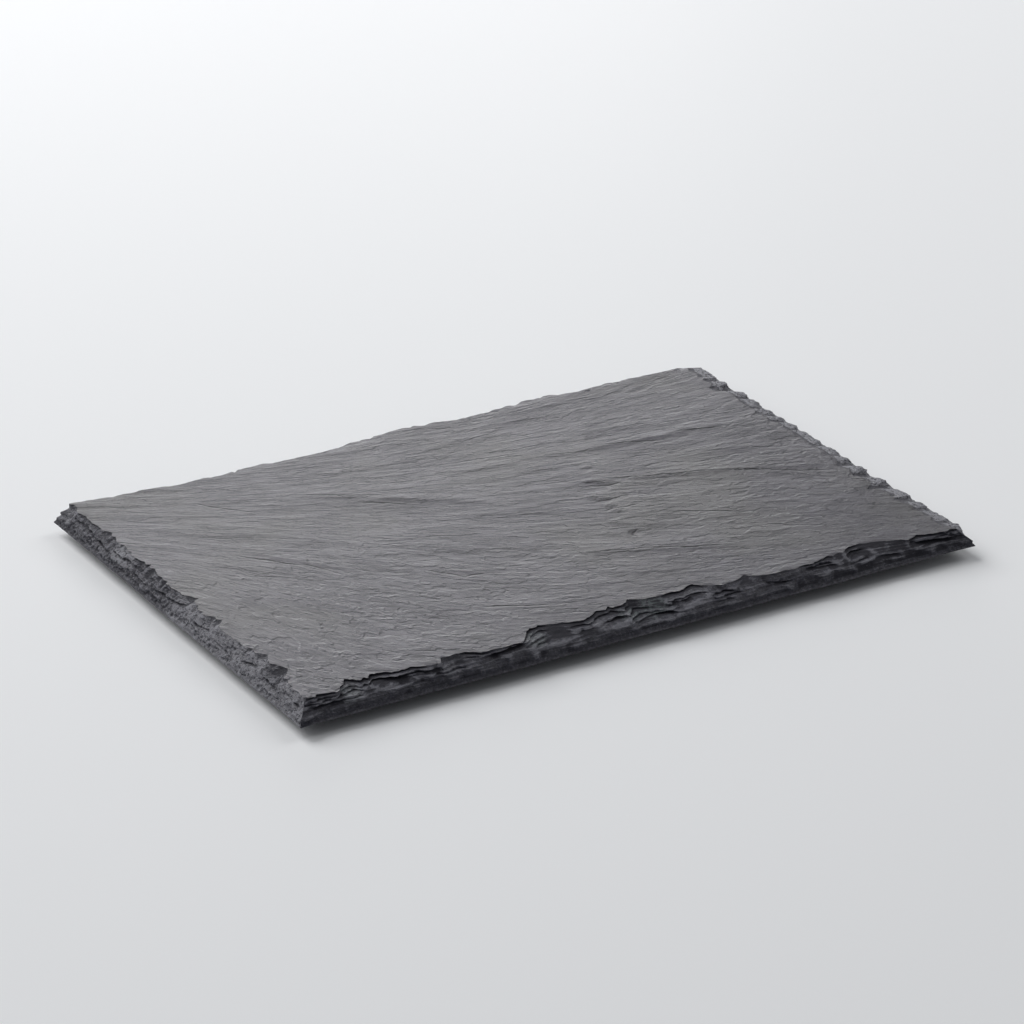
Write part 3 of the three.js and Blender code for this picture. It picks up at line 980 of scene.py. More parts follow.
@dataclass(frozen=True)
class SlateFinish:
    """Riven slate: streaked along its grain on the faces, darker and grainy where it is broken.

    Shares weigh noises in the order in which they are read. Relief is a height in millimetres, and
    torn is what the broken step adds to it. A range says from where to where a value rises from 0
    to 1, an amount how far a colour then takes over, and ragged how much the flecks break up its
    border. A gloss value says how far a noise changes the roughness. Bed is the number of bumps to
    a metre along x, y and z, and pale most is how much a patch of painted light counts against a
    hollow's painted shade. The colours hold painted light and shade: dark layer edges, cracks,
    hollows and pits, pale rims and glints, partly as wear, and pale or dark patches of the broken
    sides, partly as tone of the stone.
    """

    face_light: Colour = grey(0.123, (1.01, 0.985, 1.12))
    face_dark: Colour = grey(0.05, (1.0, 0.98, 1.14))
    warm: Colour = grey(0.105, (1.02, 1.02, 0.96))
    # Painted shade: the dark of the layers' edges and of the cracks.
    crack: Colour = grey(0.025, (1, 1, 1.12))
    broken_light: Colour = grey(0.036, (0.95, 0.95, 1.4))
    broken_dark: Colour = grey(0.008, (0.92, 0.93, 1.6))
    # Pale grey of worn rims and of painted glints.
    scuff_and_glint: Colour = grey(0.19, (0.97, 0.98, 1.12))
    # Pale colour of the patches of painted light on the broken sides.
    pale_and_lit: Colour = grey(0.28, (0.98, 0.98, 1.07))
    teal: Colour = grey(0.085, (0.84, 1.08, 1.08))
    sheen: Colour = (1.0, 0.985, 1.05, 1.0)
    roughness: float = 0.42
    broken_roughness: float = 0.46
    laminae: Sequence[Lamina] = (
        Lamina(42, 11, 7, 0.19, 11.0, 0.2), Lamina(17, 3.8, 5, 0.11, 17.0, 0.3),
    )
    cracks: Sequence[Crack] = tuple(FACE_CRACKS)
    crack_depth: float = 0.35
    waver: float = 4
    wavering: Specks = Specks(0.11, 2)
    streak: Streaks = Streaks(13, 1.3, 5.0, 4, 0.62)
    flow: Streaks = Streaks(44, 7, 3.0, 3, 0.5)
    hair: Streaks = Streaks(5, 0.5, 7.0, 2, 0.5)
    cloud: Specks = Specks(0.018, 2, 0.5)
    calm: Specks = Specks(0.022, 1)
    face_grit: Specks = Specks(1.5, 3, 0.7)
    fleck: Specks = Specks(0.6, 4, 0.7)
    grit: Specks = Specks(2.1, 3, 0.7)
    spark: Specks = Specks(1.3, 2, 0.6)
    speck: Specks = Specks(0.85, 3, 0.75)
    bed: tuple[float, float, float] = (140, 140, 2200)
    bedding: Specks = Specks(1, 3, 0.6)
    tone_shares: Sequence[float] = (0.4, 0.2, 0.2, 0.2)
    streak_relief: float = 0.22
    streak_torn: float = 0.34
    hair_relief: float = 0.08
    hair_torn: float = 0.12
    grit_relief: float = 0.11
    warm_torn: float = 0.12
    warm_amount: float = 0.5
    # Painted shade on the layers' edges and in the cracks.
    step_shade_amount: float = 0.55
    step_shade_change: float = 0.25
    crack_shade_amount: float = 0.8
    broken_shares: Sequence[float] = (0.5, 0.2, 0.3)
    broken_relief: Sequence[float] = (0.45, 0.16, 0.2, 0.7)
    mineral_amount: float = 0.8
    # Wear and painted glints on rims and flecks.
    worn_and_glint_ragged: float = 1.2
    worn_and_glint_amount: float = 0.55
    spark_amount: float = 0.35
    speck_amount: float = 0.6
    # Patches of painted light, with some tone of the stone.
    pale_and_lit_ragged: float = 1.5
    pale_and_lit_amount: float = 0.9
    pale_most: float = 0.42
    # Painted shade in hollows, slits, dark patches and pits.
    hollow_shade_amount: float = 0.85
    grit_gloss: float = 0.3
    tone_gloss: float = 0.08
    hollow_shade_gloss: float = 0.4
    tone_range: Range = (0.39, 0.61)
    warm_range: Range = (0.48, 0.72)
    step_shade_range: Range = (0.38, 0.58)
    calm_range: Range = (0.35, 0.6)
    broken_range: Range = (0.36, 0.66)
    mineral_range: Range = (0.35, 0.6)
    pit_shade_range: Range = (-0.48, -0.39)
    spark_range: Range = (0.62, 0.72)
    speck_range: Range = (0.54, 0.68)
    worn_and_glint_range: Range = (0.35, 1.1)
    pale_and_lit_range: Range = (0.1, 1.5)
    hollow_shade_range: Range = (0.1, 0.8)

    def material(self, grain: Grain) -> bpy.types.Material:
        """Builds the stone's material.

        Args:
            grain: The lines that the streaks follow.

        Returns:
            The material.
        """
        g = Graph("riven_slate")
        place = g.wire(g.node("TexCoord"), "Object")
        split = g.node("SeparateXYZ", {}, {"Vector": place})
        x, y, z = (g.wire(split, axis) for axis in "XYZ")
        per_unit = 1 / (grain.unit * MM)
        level = grain.level(x * per_unit, y * per_unit)
        across = (level * grain.spread).math("ARCTANGENT") * (grain.unit / grain.spread)
        along = (x - y) * (1 / MM)
        solid = g.wire(g.node("VectorMath", {"operation": "SCALE"}, {0: place, "Scale": 1 / MM}))
        broken = g.mark("broken")

        cut = self._cracks(g, x * (1 / MM), y * (1 / MM), solid)
        face, face_height, face_gloss = self._riven(g, along, across, solid, cut)
        edge, edge_height, edge_gloss = self._broken(g, x, y, z, solid)
        height = face_height * (1 - broken) + edge_height * broken
        bump = g.wire(g.node("Bump", {}, {"Strength": 1.0, "Distance": MM, "Height": height}))
        return g.surface({"Base Color": g.blend(broken, face, edge), "Specular Tint": self.sheen,
                          "Roughness": face_gloss * (1 - broken) + edge_gloss * broken, "Normal": bump})

    def _cracks(self, g: Graph, x: Wire, y: Wire, solid: Wire) -> Wire:
        """Gives a mark that is 1 on the cracks of the face, which waver a little.

        Args:
            g: The material's graph.
            x: Place along the slab's long side, in millimetres.
            y: Place towards the back, in millimetres.
            solid: Place in the stone, in millimetres.

        Returns:
            The mark.
        """
        y = y + (self.wavering.build(g, solid) - 0.5) * self.waver
        cut: Any = 0
        for crack in self.cracks:
            cut = crack.build(g, x, y).math("MAXIMUM", cut)
        return cut

    def _riven(self, g: Graph, along: Wire, across: Wire, solid: Wire,
               cut: Wire) -> tuple[Wire, Wire, Wire]:
        """Gives colour, height in millimetres and roughness of the riven face.

        Args:
            g: The material's graph.
            along: Distance along the grain.
            across: Distance across the grain.
            solid: Place in the stone, in millimetres.
            cut: Mark that is 1 on the cracks.

        Returns:
            The colour, the height and the roughness.
        """
        streak, flow, hair = (kind.build(g, along, across) for kind in (self.streak, self.flow, self.hair))
        cloud, calm, grit = (kind.build(g, solid) for kind in (self.cloud, self.calm, self.face_grit))
        rift = g.mark("rift")
        height: Any = (streak * (rift * self.streak_torn + self.streak_relief)
                       + hair * (rift * self.hair_torn + self.hair_relief) + grit * self.grit_relief)
        edges: Any = 0
        for lamina in self.laminae:
            rise, line = lamina.build(g, along, across)
            height = height + rise
            edges = line.math("MAXIMUM", edges)
        tone = g.limit(weighed(self.tone_shares, streak, flow, hair, grit), *self.tone_range)
        colour = g.blend(tone, self.face_dark, self.face_light)
        warm = g.limit(cloud + rift * self.warm_torn, *self.warm_range) * self.warm_amount
        colour = g.blend(warm, colour, self.warm)
        # Painted shade: the edges of the split layers and the cracks are painted dark, as the shaded side of
        # each small step and the gap of each crack.
        amount = g.limit(calm, *self.calm_range) * self.step_shade_change + self.step_shade_amount
        edges = edges * g.limit(streak, *self.step_shade_range) * amount
        colour = g.blend(edges.math("MAXIMUM", cut * self.crack_shade_amount), colour, self.crack)
        height = height - cut * self.crack_depth
        gloss = self.roughness + (grit - 0.5) * self.grit_gloss - (tone - 0.5) * self.tone_gloss
        return colour, height, gloss

    def _broken(self, g: Graph, x: Wire, y: Wire, z: Wire, solid: Wire) -> tuple[Wire, Wire, Wire]:
        """Gives colour, height in millimetres and roughness of the broken edge.

        Args:
            g: The material's graph.
            x: Place along the slab's long side, in metres.
            y: Place towards the back, in metres.
            z: Height, in metres.
            solid: Place in the stone, in millimetres.

        Returns:
            The colour, the height and the roughness.
        """
        wear, mineral, pale, grainy = (g.mark(name) for name in ("wear", "mineral", "pale", "grainy"))
        flat = g.vector(*(value * scale for value, scale in zip((x, y, z), self.bed)))
        bed = self.bedding.build(g, flat)
        fleck, grit, spark, speck = (
            kind.build(g, solid) for kind in (self.fleck, self.grit, self.spark, self.speck))
        # Painted shade in the small pits of the grainy side.
        pit_shade = g.limit(speck * -1, *self.pit_shade_range) * grainy
        tone = g.limit(weighed(self.broken_shares, fleck, grit, bed), *self.broken_range)
        colour = g.blend(tone, self.broken_dark, self.broken_light)
        mineral = mineral * g.limit(fleck, *self.mineral_range) * self.mineral_amount
        colour = g.blend(mineral, colour, self.teal)
        # Partly wear and partly painted highlight: rims that stand out, sparks and the grainy side's specks
        # are painted pale, as worn rims and glinting facets.
        worn_and_glint = g.limit(wear + (fleck - 0.5) * self.worn_and_glint_ragged, *self.worn_and_glint_range) * self.worn_and_glint_amount
        worn_and_glint = worn_and_glint.math("MAXIMUM", g.limit(spark, *self.spark_range) * self.spark_amount)
        worn_and_glint = worn_and_glint.math("MAXIMUM", g.limit(speck, *self.speck_range) * grainy * self.speck_amount)
        # Painted light, with some tone of the stone: positive patches paint the broken stone pale where it
        # faces the lamps.
        pale_and_lit_mask = g.limit(pale + (fleck - 0.5) * self.pale_and_lit_ragged, *self.pale_and_lit_range)
        # Painted shade: hollows, slits, dark patches and the pits of the grainy side are painted towards the
        # darkest colour, and made rougher.
        painted_hollow_shade = g.limit(wear * -1 - pale.math("MINIMUM", self.pale_most), *self.hollow_shade_range)
        painted_hollow_shade = painted_hollow_shade.math("MAXIMUM", pit_shade) * self.hollow_shade_amount
        colour = g.blend(pale_and_lit_mask * self.pale_and_lit_amount, colour, self.pale_and_lit)
        colour = g.blend(worn_and_glint, colour, self.scuff_and_glint)
        colour = g.blend(painted_hollow_shade, colour, self.broken_dark)
        height = weighed(self.broken_relief, fleck, grit, bed, speck * grainy)
        gloss = self.broken_roughness + (grit - 0.5) * self.grit_gloss + painted_hollow_shade * self.hollow_shade_gloss
        return colour, height, gloss


@dataclass(frozen=True)
class RubberFinish:
    """Matt black moulded rubber."""

    colour: Colour = grey(0.018)
    bloom: Colour = grey(0.04)
    bloom_cloud: Specks = Specks(260, 3)
    bloom_range: Range = (0.45, 0.7)
    bloom_amount: float = 0.6
    pores: Specks = Specks(2600, 2)
    pore_strength: float = 0.4
    pore_depth: float = 0.05
    pore_gloss: float = 0.1
    roughness: float = 0.72

    def material(self) -> bpy.types.Material:
        """Builds the rubber's material, with a dull bloom and a fine moulded texture.

        Returns:
            The material.
        """
        g = Graph("moulded_rubber")
        place = g.wire(g.node("TexCoord"), "Object")
        bloom = g.limit(self.bloom_cloud.build(g, place), *self.bloom_range) * self.bloom_amount
        pores = self.pores.build(g, place)
        bump = g.wire(g.node("Bump", {}, {"Strength": self.pore_strength, "Distance": self.pore_depth * MM,
                                          "Height": pores}))
        return g.surface({"Base Color": g.blend(bloom, self.colour, self.bloom),
                          "Roughness": self.roughness + (pores - 0.5) * self.pore_gloss, "Normal": bump})


@dataclass(frozen=True)
class FloorFinish:
    """The plain pale surface."""

    colour: Colour = (0.88, 0.89, 0.905, 1)
    roughness: float = 0.4
    shine: float = 0.02

    def material(self) -> bpy.types.Material:
        """Builds the floor's material.

        Returns:
            The material.
        """
        g = Graph("pale_floor")
        return g.surface({"Base Color": self.colour, "Roughness": self.roughness,
                          "Specular IOR Level": self.shine})


def chips(*rows: Sequence[float]) -> list[Chip]:
    """Makes chips from rows of start, deepest place, end, depth, foot and hollow."""
    return [Chip(*row) for row in rows]


FRONT_RIM = (
    (-144, 7.2), (-137, 7.5), (-131, 6.3), (-124, 12.3), (-120, 9.7), (-118, 11.2), (-116.5, 10),
    (-112, 12.8), (-104, 8.6), (-101, 8.5), (-98, 9.9), (-91, 7.4), (-87, 7.4), (-82.5, 10.8),
    (-75, 9.3), (-70, 7.2), (-53, 6.6), (-50, 8.8), (-43.5, 14.8), (-40.5, 16), (-33, 14.2),
    (-25, 10.3), (-22, 10.2), (-16, 14.4), (-6, 14.6), (0, 16), (6, 14.1), (21, 13.4), (27, 16),
    (33, 12), (39, 9.5), (43, 9.6), (48.5, 11.4), (53.5, 8.8), (61, 7.6), (71, 6.7), (77, 8),
    (93, 9.2), (98, 12.2), (102, 12.8), (110, 11.2), (121, 7.2), (126, 7.6), (143, 5),
)
RIGHT_RIM = (
    (-97, 6.5), (-90, 8.5), (-84, 8.2), (-78, 8.4), (-75, 9.6), (-70, 8.2), (-64, 10.4), (-60, 9),
    (-54, 9.4), (-50, 13.6), (-44, 9.2), (-38, 9.4), (-36, 12.6), (-29, 9), (-24.5, 11.6), (-18, 8),
    (-8, 8), (0, 9.2), (8, 7.6), (24, 8.6), (26, 10.4), (29, 8.4), (34, 9.2), (47, 8.8), (60, 8),
    (64, 8.8), (66.5, 13), (71, 8.6), (78, 9), (91.5, 8.5),
)
BACK_RIM = (
    (-143.5, 1.2), (-133, 2.6), (-120, 3.6), (-108, 4.4), (-101, 6.6), (-77, 7.2), (-72, 6.4),
    (-58, 5.8), (-50, 7), (-34, 8.6), (-25, 7.6), (-20, 5.8), (-10, 6), (0, 4.2), (6, 3.9),
    (20, 6.2), (27, 8), (42, 8), (50, 7.2), (64, 5.4), (69, 4.8), (74, 5.4), (80, 7.2), (90, 9.6),
    (95, 8.8), (99, 6.8), (112, 8), (128, 9.4), (134, 9), (141, 11),
)
LEFT_RIM = (
    (-96, 5.5), (-82, 6), (-76, 7), (-71, 12.2), (-62, 8), (-56.5, 10.8), (-53, 7.8), (-40, 6.4),
    (-27, 6.3), (-22, 8.6), (-18, 8.3), (-13, 6), (-5, 7), (-1, 9.7), (5, 7.2), (16, 6.4),
    (32, 7.3), (45, 6.4), (68, 7.3), (88, 5.8), (101, 6.5),
)

FRONT_CHIPS = chips(
    (-152, -138, -130, 8.3, 0.35, 1.1), (-132, -124, -118, 12.3, 0.5, 1.3),
    (-119, -112, -101, 13, 0.52, 1.15), (-102, -98, -84, 9.6, 0.48, 1),
    (-87, -81, -68, 10.6, 0.4, 1.2), (-70, -60, -51, 7.2, 0.3, 1),
    (-54, -41, -21, 15.8, 0.45, 1.15), (-25, -10, -2, 17, 0.5, 1.1),
    (-7, 2, 17, 15.6, 0.32, 1.3), (10, 25, 36, 15.6, 0.58, 1), (32, 38, 45, 9.5, 0.3, 1.2),
    (42, 47, 53, 10.8, 0.42, 1.1), (50, 55, 69, 8.6, 0.25, 1.15), (67, 78, 91, 8.4, 0.35, 1.2),
    (88, 101, 120, 13.5, 0.42, 1.1), (117, 123, 143, 8.8, 0.35, 1),
)
FRONT_SLITS = [
    Slit(-144, -128, 0.62, 0.58, 0.9), Slit(-119, -99, 0.84, 0.78, 2.8, 0.9),
    Slit(-101, -86, 0.8, 0.82, 1.0), Slit(-69, -50, 0.76, 0.9, 2.3, 0.9), Slit(-40, -19, 0.78, 0.68, 1.0),
    Slit(-20, -4, 0.62, 0.8, 0.9), Slit(13, 31, 0.78, 0.8, 3.0, 0.9), Slit(5, 14, 0.5, 0.56, 2.0, 1.0),
    Slit(54, 66, 0.7, 0.6, 0.8), Slit(72, 90, 0.82, 0.7, 0.9), Slit(92, 104, 0.86, 0.8, 1.0),
    Slit(103, 117, 0.62, 0.5, 1.0), Slit(123, 143, 0.76, 0.62, 2.0, 0.8),
]
# Painted light and shade on the front, with some tone: pale facets that face up to the lamps, dark stretches
# under overhanging flakes, and a painted highlight along the lower edge.
FRONT_PATCHES = [
    Patch(-130, -121, 0.45, 0.95, 0.55), Patch(-119, -103, 0.5, 1, -0.5), Patch(-86, -80, 0.5, 0.85, 0.5),
    Patch(-51, -42, 0.4, 0.9, 0.5), Patch(-40, -24, 0.3, 1, -0.6), Patch(-21, -14, 0.5, 0.85, 0.45),
    Patch(20, 33, 0.72, 1, 0.3), Patch(94, 104, 0.6, 0.85, 0.3), Patch(84, 143, 0.2, 1, -0.7),
    Patch(-146, 146, -0.2, 0.1, 0.45, 0.4),
]
# Painted light: the right side's upper bevel is painted pale, as it catches the lamps.
RIGHT_PATCHES = [Patch(-110, 110, 0.55, 1.6, 1.35, 5)]
# Painted light and shade on the left side: pale stretches where it faces the lamps, dark ones where it lies
# in shade.
LEFT_PATCHES = [
    Patch(8, 42, -0.6, 1.7, -0.2, 12), Patch(43, 58, 0.45, 1.1, 0.9), Patch(60, 92, -0.6, 1.7, 0.2, 8),
    Patch(92, 120, 0.4, 1.7, 0.8, 3), Patch(-110, 8, -0.6, 1.7, 0.8, 14),
    Patch(-78, -62, 0.5, 1.1, -0.7),
]
RIGHT_CHIPS = chips(
    (-91, -87, -84.5, 9.5, 0.62, 1.1), (-80, -75, -72.5, 10.5, 0.6, 1.1),
    (-69, -64, -61.5, 11, 0.6, 1.1), (-56, -49, -43, 13.4, 0.5, 1.1),
    (-41, -35, -30, 12.6, 0.52, 1.1), (-28, -23.5, -19, 11.8, 0.55, 1.1),
    (-17, -13, -10.5, 9.5, 0.62, 1.1), (-5, 0, 2.5, 10, 0.6, 1.1), (12, 17, 19.5, 9.5, 0.62, 1.1),
    (21, 25.5, 28.5, 10.4, 0.58, 1.1), (30, 34, 36.5, 9.6, 0.62, 1.1), (38, 44, 48, 10, 0.58, 1.1),
    (50, 55, 57.5, 9.3, 0.62, 1.1), (61, 66.5, 70.5, 13, 0.5, 1.1), (72, 77, 80, 10, 0.6, 1.1),
)
BACK_CHIPS = chips(
    (-148, -122, -107, 5.5, 0.4, 1.1), (-112, -95, -80, 7.5, 0.45, 1.2), (-83, -63, -55, 9.5, 0.4, 1.1),
    (-58, -42, -14, 11, 0.5, 1.2), (-17, -6, 5, 7, 0.4, 1.15), (11, 22, 30, 8.5, 0.45, 1.2),
    (28, 42, 57, 10.5, 0.5, 1.15), (53, 64, 75, 7, 0.4, 1.1), (72, 90, 113, 11.5, 0.5, 1.2),
    (108, 130, 149, 12, 0.45, 1.15),
)
LEFT_CHIPS = chips(
    (-98, -88, -77, 6, 0.35, 1.1), (-76, -71, -54, 10, 0.48, 1.2), (-57, -48, -38, 5.8, 0.4, 1.1),
    (-40, -30, -21, 5.2, 0.35, 1), (-23, -15, -7, 6.2, 0.45, 1.15), (-6, -1, 28, 9, 0.45, 1.2),
    (26, 36, 47, 5.4, 0.3, 1), (44, 55, 67, 4.8, 0.45, 1.2), (64, 78, 92, 5.6, 0.38, 1.1),
    (87, 103, 118, 6, 0.42, 5),
)
LEFT_SLITS = [
    Slit(-96, -84, 0.6, 0.7, 1.0), Slit(-80, -66, 0.5, 0.6, 1.4), Slit(-60, -50, 0.7, 0.55, 1.2),
    Slit(-42, -30, 0.45, 0.5, 1.2), Slit(-24, -12, 0.6, 0.5, 1.0), Slit(-4, 20, 0.7, 0.6, 1.6),
    Slit(24, 40, 0.5, 0.42, 1.3), Slit(42, 58, 0.75, 0.66, 1.6), Slit(58, 76, 0.5, 0.6, 1.4),
    Slit(72, 92, 0.7, 0.78, 1.3),
]


def slab_sides() -> list[Side]:
    """Gives the four sides in order round the slab, each from one corner to the next.

    Returns:
        The front, right, back and left sides.
    """
    return [
        Side("front", (-1, -1), (1, -1), 0, Bevel(6.6, 0.28), FRONT_RIM, FRONT_CHIPS, 11, 520,
             Crumble(large=0.7, small=0.3, grit=0.16, nicks=40), FRONT_SLITS, FRONT_PATCHES, 0.5, 0.4),
        Side("right", (1, -1), (1, 1), 1, Bevel(8.3, 0.8), RIGHT_RIM, RIGHT_CHIPS, 12, 300,
             Crumble(large=1.4, small=0.9, grit=0.5, flaking=0.3, nicks=16), (), RIGHT_PATCHES),
        Side("back", (1, 1), (-1, 1), 0, Bevel(5.5, 0.3), BACK_RIM, BACK_CHIPS, 13, 340,
             Crumble(flaking=0.7, nicks=30)),
        Side("left", (-1, 1), (-1, -1), 1, Bevel(4.4, 0.3), LEFT_RIM, LEFT_CHIPS, 14, 380,
             Crumble(large=1.1, large_size=(4.2, 2.2), small=0.9, small_size=(1.6, 0.9), grit=0.6,
                     flaking=0.35, nicks=40), LEFT_SLITS, LEFT_PATCHES),
    ]


@dataclass(frozen=True)
class Mineral:
    """A greener, paler patch in the broken stone, by its middle and radius."""

    x: float
    y: float
    radius: float
    fullness: float = 1.6

    def amount(self, x: Array, y: Array) -> Array:
        """Gives 1 in the middle of the patch, falling to 0 at its radius."""
        return smooth(self.fullness * (1 - np.hypot(x - self.x, y - self.y) / self.radius))


@dataclass
class SlateSlab:
    """The stone: riven face, chipped edges and underside, as one closed mesh."""

    name: str = "riven_slab"
    node: str = "slate_slab"
    slot: str = "slate"
    thickness: float = 7
    grain: Grain = field(default_factory=Grain)
    swell: Texture = Texture(0.3, 60, 17, 1)
    ripple: Texture = Texture(0.18, 26, 7, 2)
    streak: Texture = Texture(0.14, 16, 2.8, 4)
    hollow: Texture = Texture(0.7, 48, 22, 3)
    ledges: Sequence[Ledge] = (
        Ledge(40, 135, 0.32, 0.29, 0.3), Ledge(58, 122, 0.71, 0.76, 0.25),
        Ledge(-53, -33, -0.52, -0.51, 0.22), Ledge(-62, 2, 0.47, 0.16, 0.25),
        Ledge(-102, -76, -0.52, -0.6, 0.25), Ledge(8, 64, -0.33, -0.34, 0.28),
        Ledge(70, 96, 1.1, 1.1, 0.2), Ledge(14, 34, -0.53, -0.52, 0.2),
    )
    step: Step = Step()
    pit: Pit = Pit()
    corners: dict[tuple[int, int], Corner] = field(default_factory=lambda: {
        (-1, -1): Corner((6, 7)), (1, -1): Corner((6, 5)),
        (1, 1): Corner((8.5, 11), (3, 6)), (-1, 1): Corner((6.5, 1.2), shelf=0.42),
    })
    shelf_rise: float = 0.35
    corner_blend: float = 9
    corner_upright: float = 0.3
    corner_lean: float = 0.12
    corner_hold: float = 2
    corner_breaks: float = 7
    corner_crumble: float = 1.4
    corner_rise: float = 4
    corner_seed: int = 31
    layers: Sequence[float] = (0, 0.13, 0.26, 0.37, 0.49, 0.6, 0.71, 0.81, 0.91, 1)
    layer_rings: Sequence[float] = (0, 0.45, 0.84, 0.92)
    layer_wander: float = 0.06
    layer_breaks: Range = (12, 2.6)
    layer_fine: float = 0.35
    layer_middle: float = 0.67
    layer_edge: float = 0.2
    settle_reach: float = 3
    fine_reach: float = 2.5
    patch_ragged: float = 3
    patch_length: float = 3
    patch_rows: float = 4
    mineral_from: float = 0.35
    mineral_blend: float = 0.2
    # Scale and reach of the mark that paints rims lighter and hollows darker, partly as wear.
    glint_and_shade_depth: float = 0.45
    glint_and_shade_reach: tuple[int, int] = (6, 5)
    minerals: Sequence[Mineral] = (
        Mineral(-4, -93, 6.5), Mineral(7, -93, 9), Mineral(-46, -93, 7), Mineral(-126, -96, 6),
        Mineral(-146, 52, 6),
    )
    top_cells: tuple[int, int] = (200, 136)
    underside_cells: tuple[int, int] = (80, 54)
    underside_broken: float = 0.25
    rim_strip: float = 1.6
    rim_search: float = 1.2
    rim_samples: int = 13
    rim_reach: float = 45
    rim_fade: float = 1.3
    landing: tuple[float, float] = (10, 22)
    crease: float = 32
    sides: list[Side] = field(default_factory=slab_sides)
    feet: list[tuple[float, float]] = field(default_factory=list)

    def __post_init__(self) -> None:
        """Takes the outline and the underside's height from the solid."""
        low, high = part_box(self.node)
        self.halves = ((high.x - low.x) / 2 / MM, (high.y - low.y) / 2 / MM)
        self.underside = low.z / MM
        self.peak = high.z / MM
        for side in self.sides:
            side.strike_nicks(self.halves[side.axis])

    def top_height(self, x: Array, y: Array) -> Array:
        """Gives the height of the riven face.

        Args:
            x: Place along the slab's long side, in millimetres.
            y: Place towards the back, in millimetres.

        Returns:
            Height in millimetres, never above the solid.
        """
        relief = self.grain.texture(self.swell, x, y) + self.grain.texture(self.ripple, x, y)
        relief = relief + self.grain.texture(self.streak, x, y) - 0.5 * self.streak.height
        for ledge in self.ledges:
            relief = relief + ledge.height_at(self.grain, x, y)
        relief = relief + self.step.height_at(x, y, self.grain.across(x, y)) - self.pit.depth_at(x, y)
        return np.minimum(self.peak, self.underside + self.thickness - self.swell.height + relief)

    def underside_height(self, x: Array, y: Array) -> Array:
        """Gives the height of the underside: shallow hollows, with flat landings for the feet.

        Args:
            x: Place along the slab's long side, in millimetres.
            y: Place towards the back, in millimetres.

        Returns:
            Height in millimetres.
        """
        nearest = np.full(np.shape(x), np.inf)
        for foot_x, foot_y in self.feet:
            nearest = np.minimum(nearest, np.hypot(x - foot_x, y - foot_y))
        flat, blend = self.landing
        landing = smooth((nearest - flat) / (blend - flat))
        border = np.minimum(self.halves[0] - np.abs(x), self.halves[1] - np.abs(y))
        hollow = self.grain.texture(self.hollow, x, y)
        return self.underside + hollow * landing * smooth(border / self.corner_blend)

    def corner_point(self, signs: tuple[int, int], level: Array) -> list[Array]:
        """Gives a corner of the edge at each level: upright at first, then leaning in.

        Args:
            signs: Signs of x and y of the corner.
            level: Share of the thickness.

        Returns:
            Its x and y at each level.
        """
        corner = self.corners[signs]
        above = np.clip((level - self.corner_upright) / (1 - self.corner_upright), 0, None)
        rise = self.corner_lean * level + (1 - self.corner_lean) * above
        broken_off = smooth((level - corner.shelf) / self.shelf_rise)
        rise = np.maximum(rise, broken_off)
        seed = self.corner_seed + signs[0] + 3 * signs[1]
        crumbled = self.corner_crumble * noise(level * self.corner_breaks, 0 * level, seed)
        crumbled = crumbled * np.minimum(1, level * self.corner_rise) * (1 - broken_off)
        return [sign * (half - mix(base, rim, rise) - crumbled)
                for sign, half, base, rim in zip(signs, self.halves, corner.base, corner.rim)]

    def rings(self, side: Side, along: Array, settle: Array) -> Rings:
        """Gives the rings at each station. They follow the split layers, which wander up and down.

        Args:
            side: The side.
            along: Places along the side, one for each station.
            settle: How much the layers may wander at each station, 0 at the corners.

        Returns:
            The rings, with a row for each station and a column for each ring.
        """
        last = len(self.layers) - 2
        bounds = []
        for k, even in enumerate(self.layers):
            row = k + 0 * along
            wander = jagged(along / self.layer_breaks[0], row, side.seed + Pattern.LAYERS)
            fine = jagged(along / self.layer_breaks[1], row, side.seed + Pattern.LAYERS_FINE)
            wander += self.layer_fine * fine
            free = settle * self.layer_wander * (0 < k <= last)
            bounds.append(even + free * (wander - self.layer_middle))
        middles = [(low + high) / 2 for low, high in zip(bounds, bounds[1:])]
        middles[last] = bounds[-1]
        columns = []
        for k in range(last + 1):
            for share in self.layer_rings:
                turn = 0 if k == last else smooth(np.array((share - 1) / self.layer_edge + 1))
                columns.append((mix(bounds[k], bounds[k + 1], share), k + 0 * along, middles[k],
                                middles[min(k + 1, last)], turn + 0 * along))
        columns.append((bounds[-1], last + 0 * along, bounds[-1], bounds[-1], 0 * along))
        return Rings(*(np.stack(parts, 1) for parts in zip(*columns)))

    def place_points(self, side: Side, share: Array, level: Array, inset: Array, main: Array) -> Array:
        """Gives x and y of points of an edge.

        Args:
            side: The side.
            share: Share along the side, from 0 at its first corner to 1 at its last.
            level: Share of the thickness.
            inset: How far the edge stands in there.
            main: The part of the inset that gives way to the corner over the whole corner blend.

        Returns:
            An array of x and y.
        """
        start, end = self.corner_point(side.start, level), self.corner_point(side.end, level)
        place = [mix(start[axis], end[axis], share) for axis in (0, 1)]
        across = 1 - side.axis
        to_corner = self.halves[side.axis] - np.abs(place[side.axis])
        weight = smooth((to_corner - self.corner_hold) / self.corner_blend)
        fine_weight = smooth(np.minimum(share, 1 - share) * 2 * self.halves[side.axis] / self.fine_reach)
        sign = side.start[across]
        blended = mix(place[across], sign * (self.halves[across] - main), weight)
        place[across] = blended - sign * (inset - main) * fine_weight
        limit = self.halves[across]
        place[across] = np.clip(place[across], -limit, limit)
        return np.stack(np.broadcast_arrays(*place), -1)

    def along(self, side: Side, share: Array, level: Array) -> Array:
        """Gives the place along a side, in millimetres from its middle."""
        start, end = self.corner_point(side.start, level), self.corner_point(side.end, level)
        return mix(start[side.axis], end[side.axis], share)

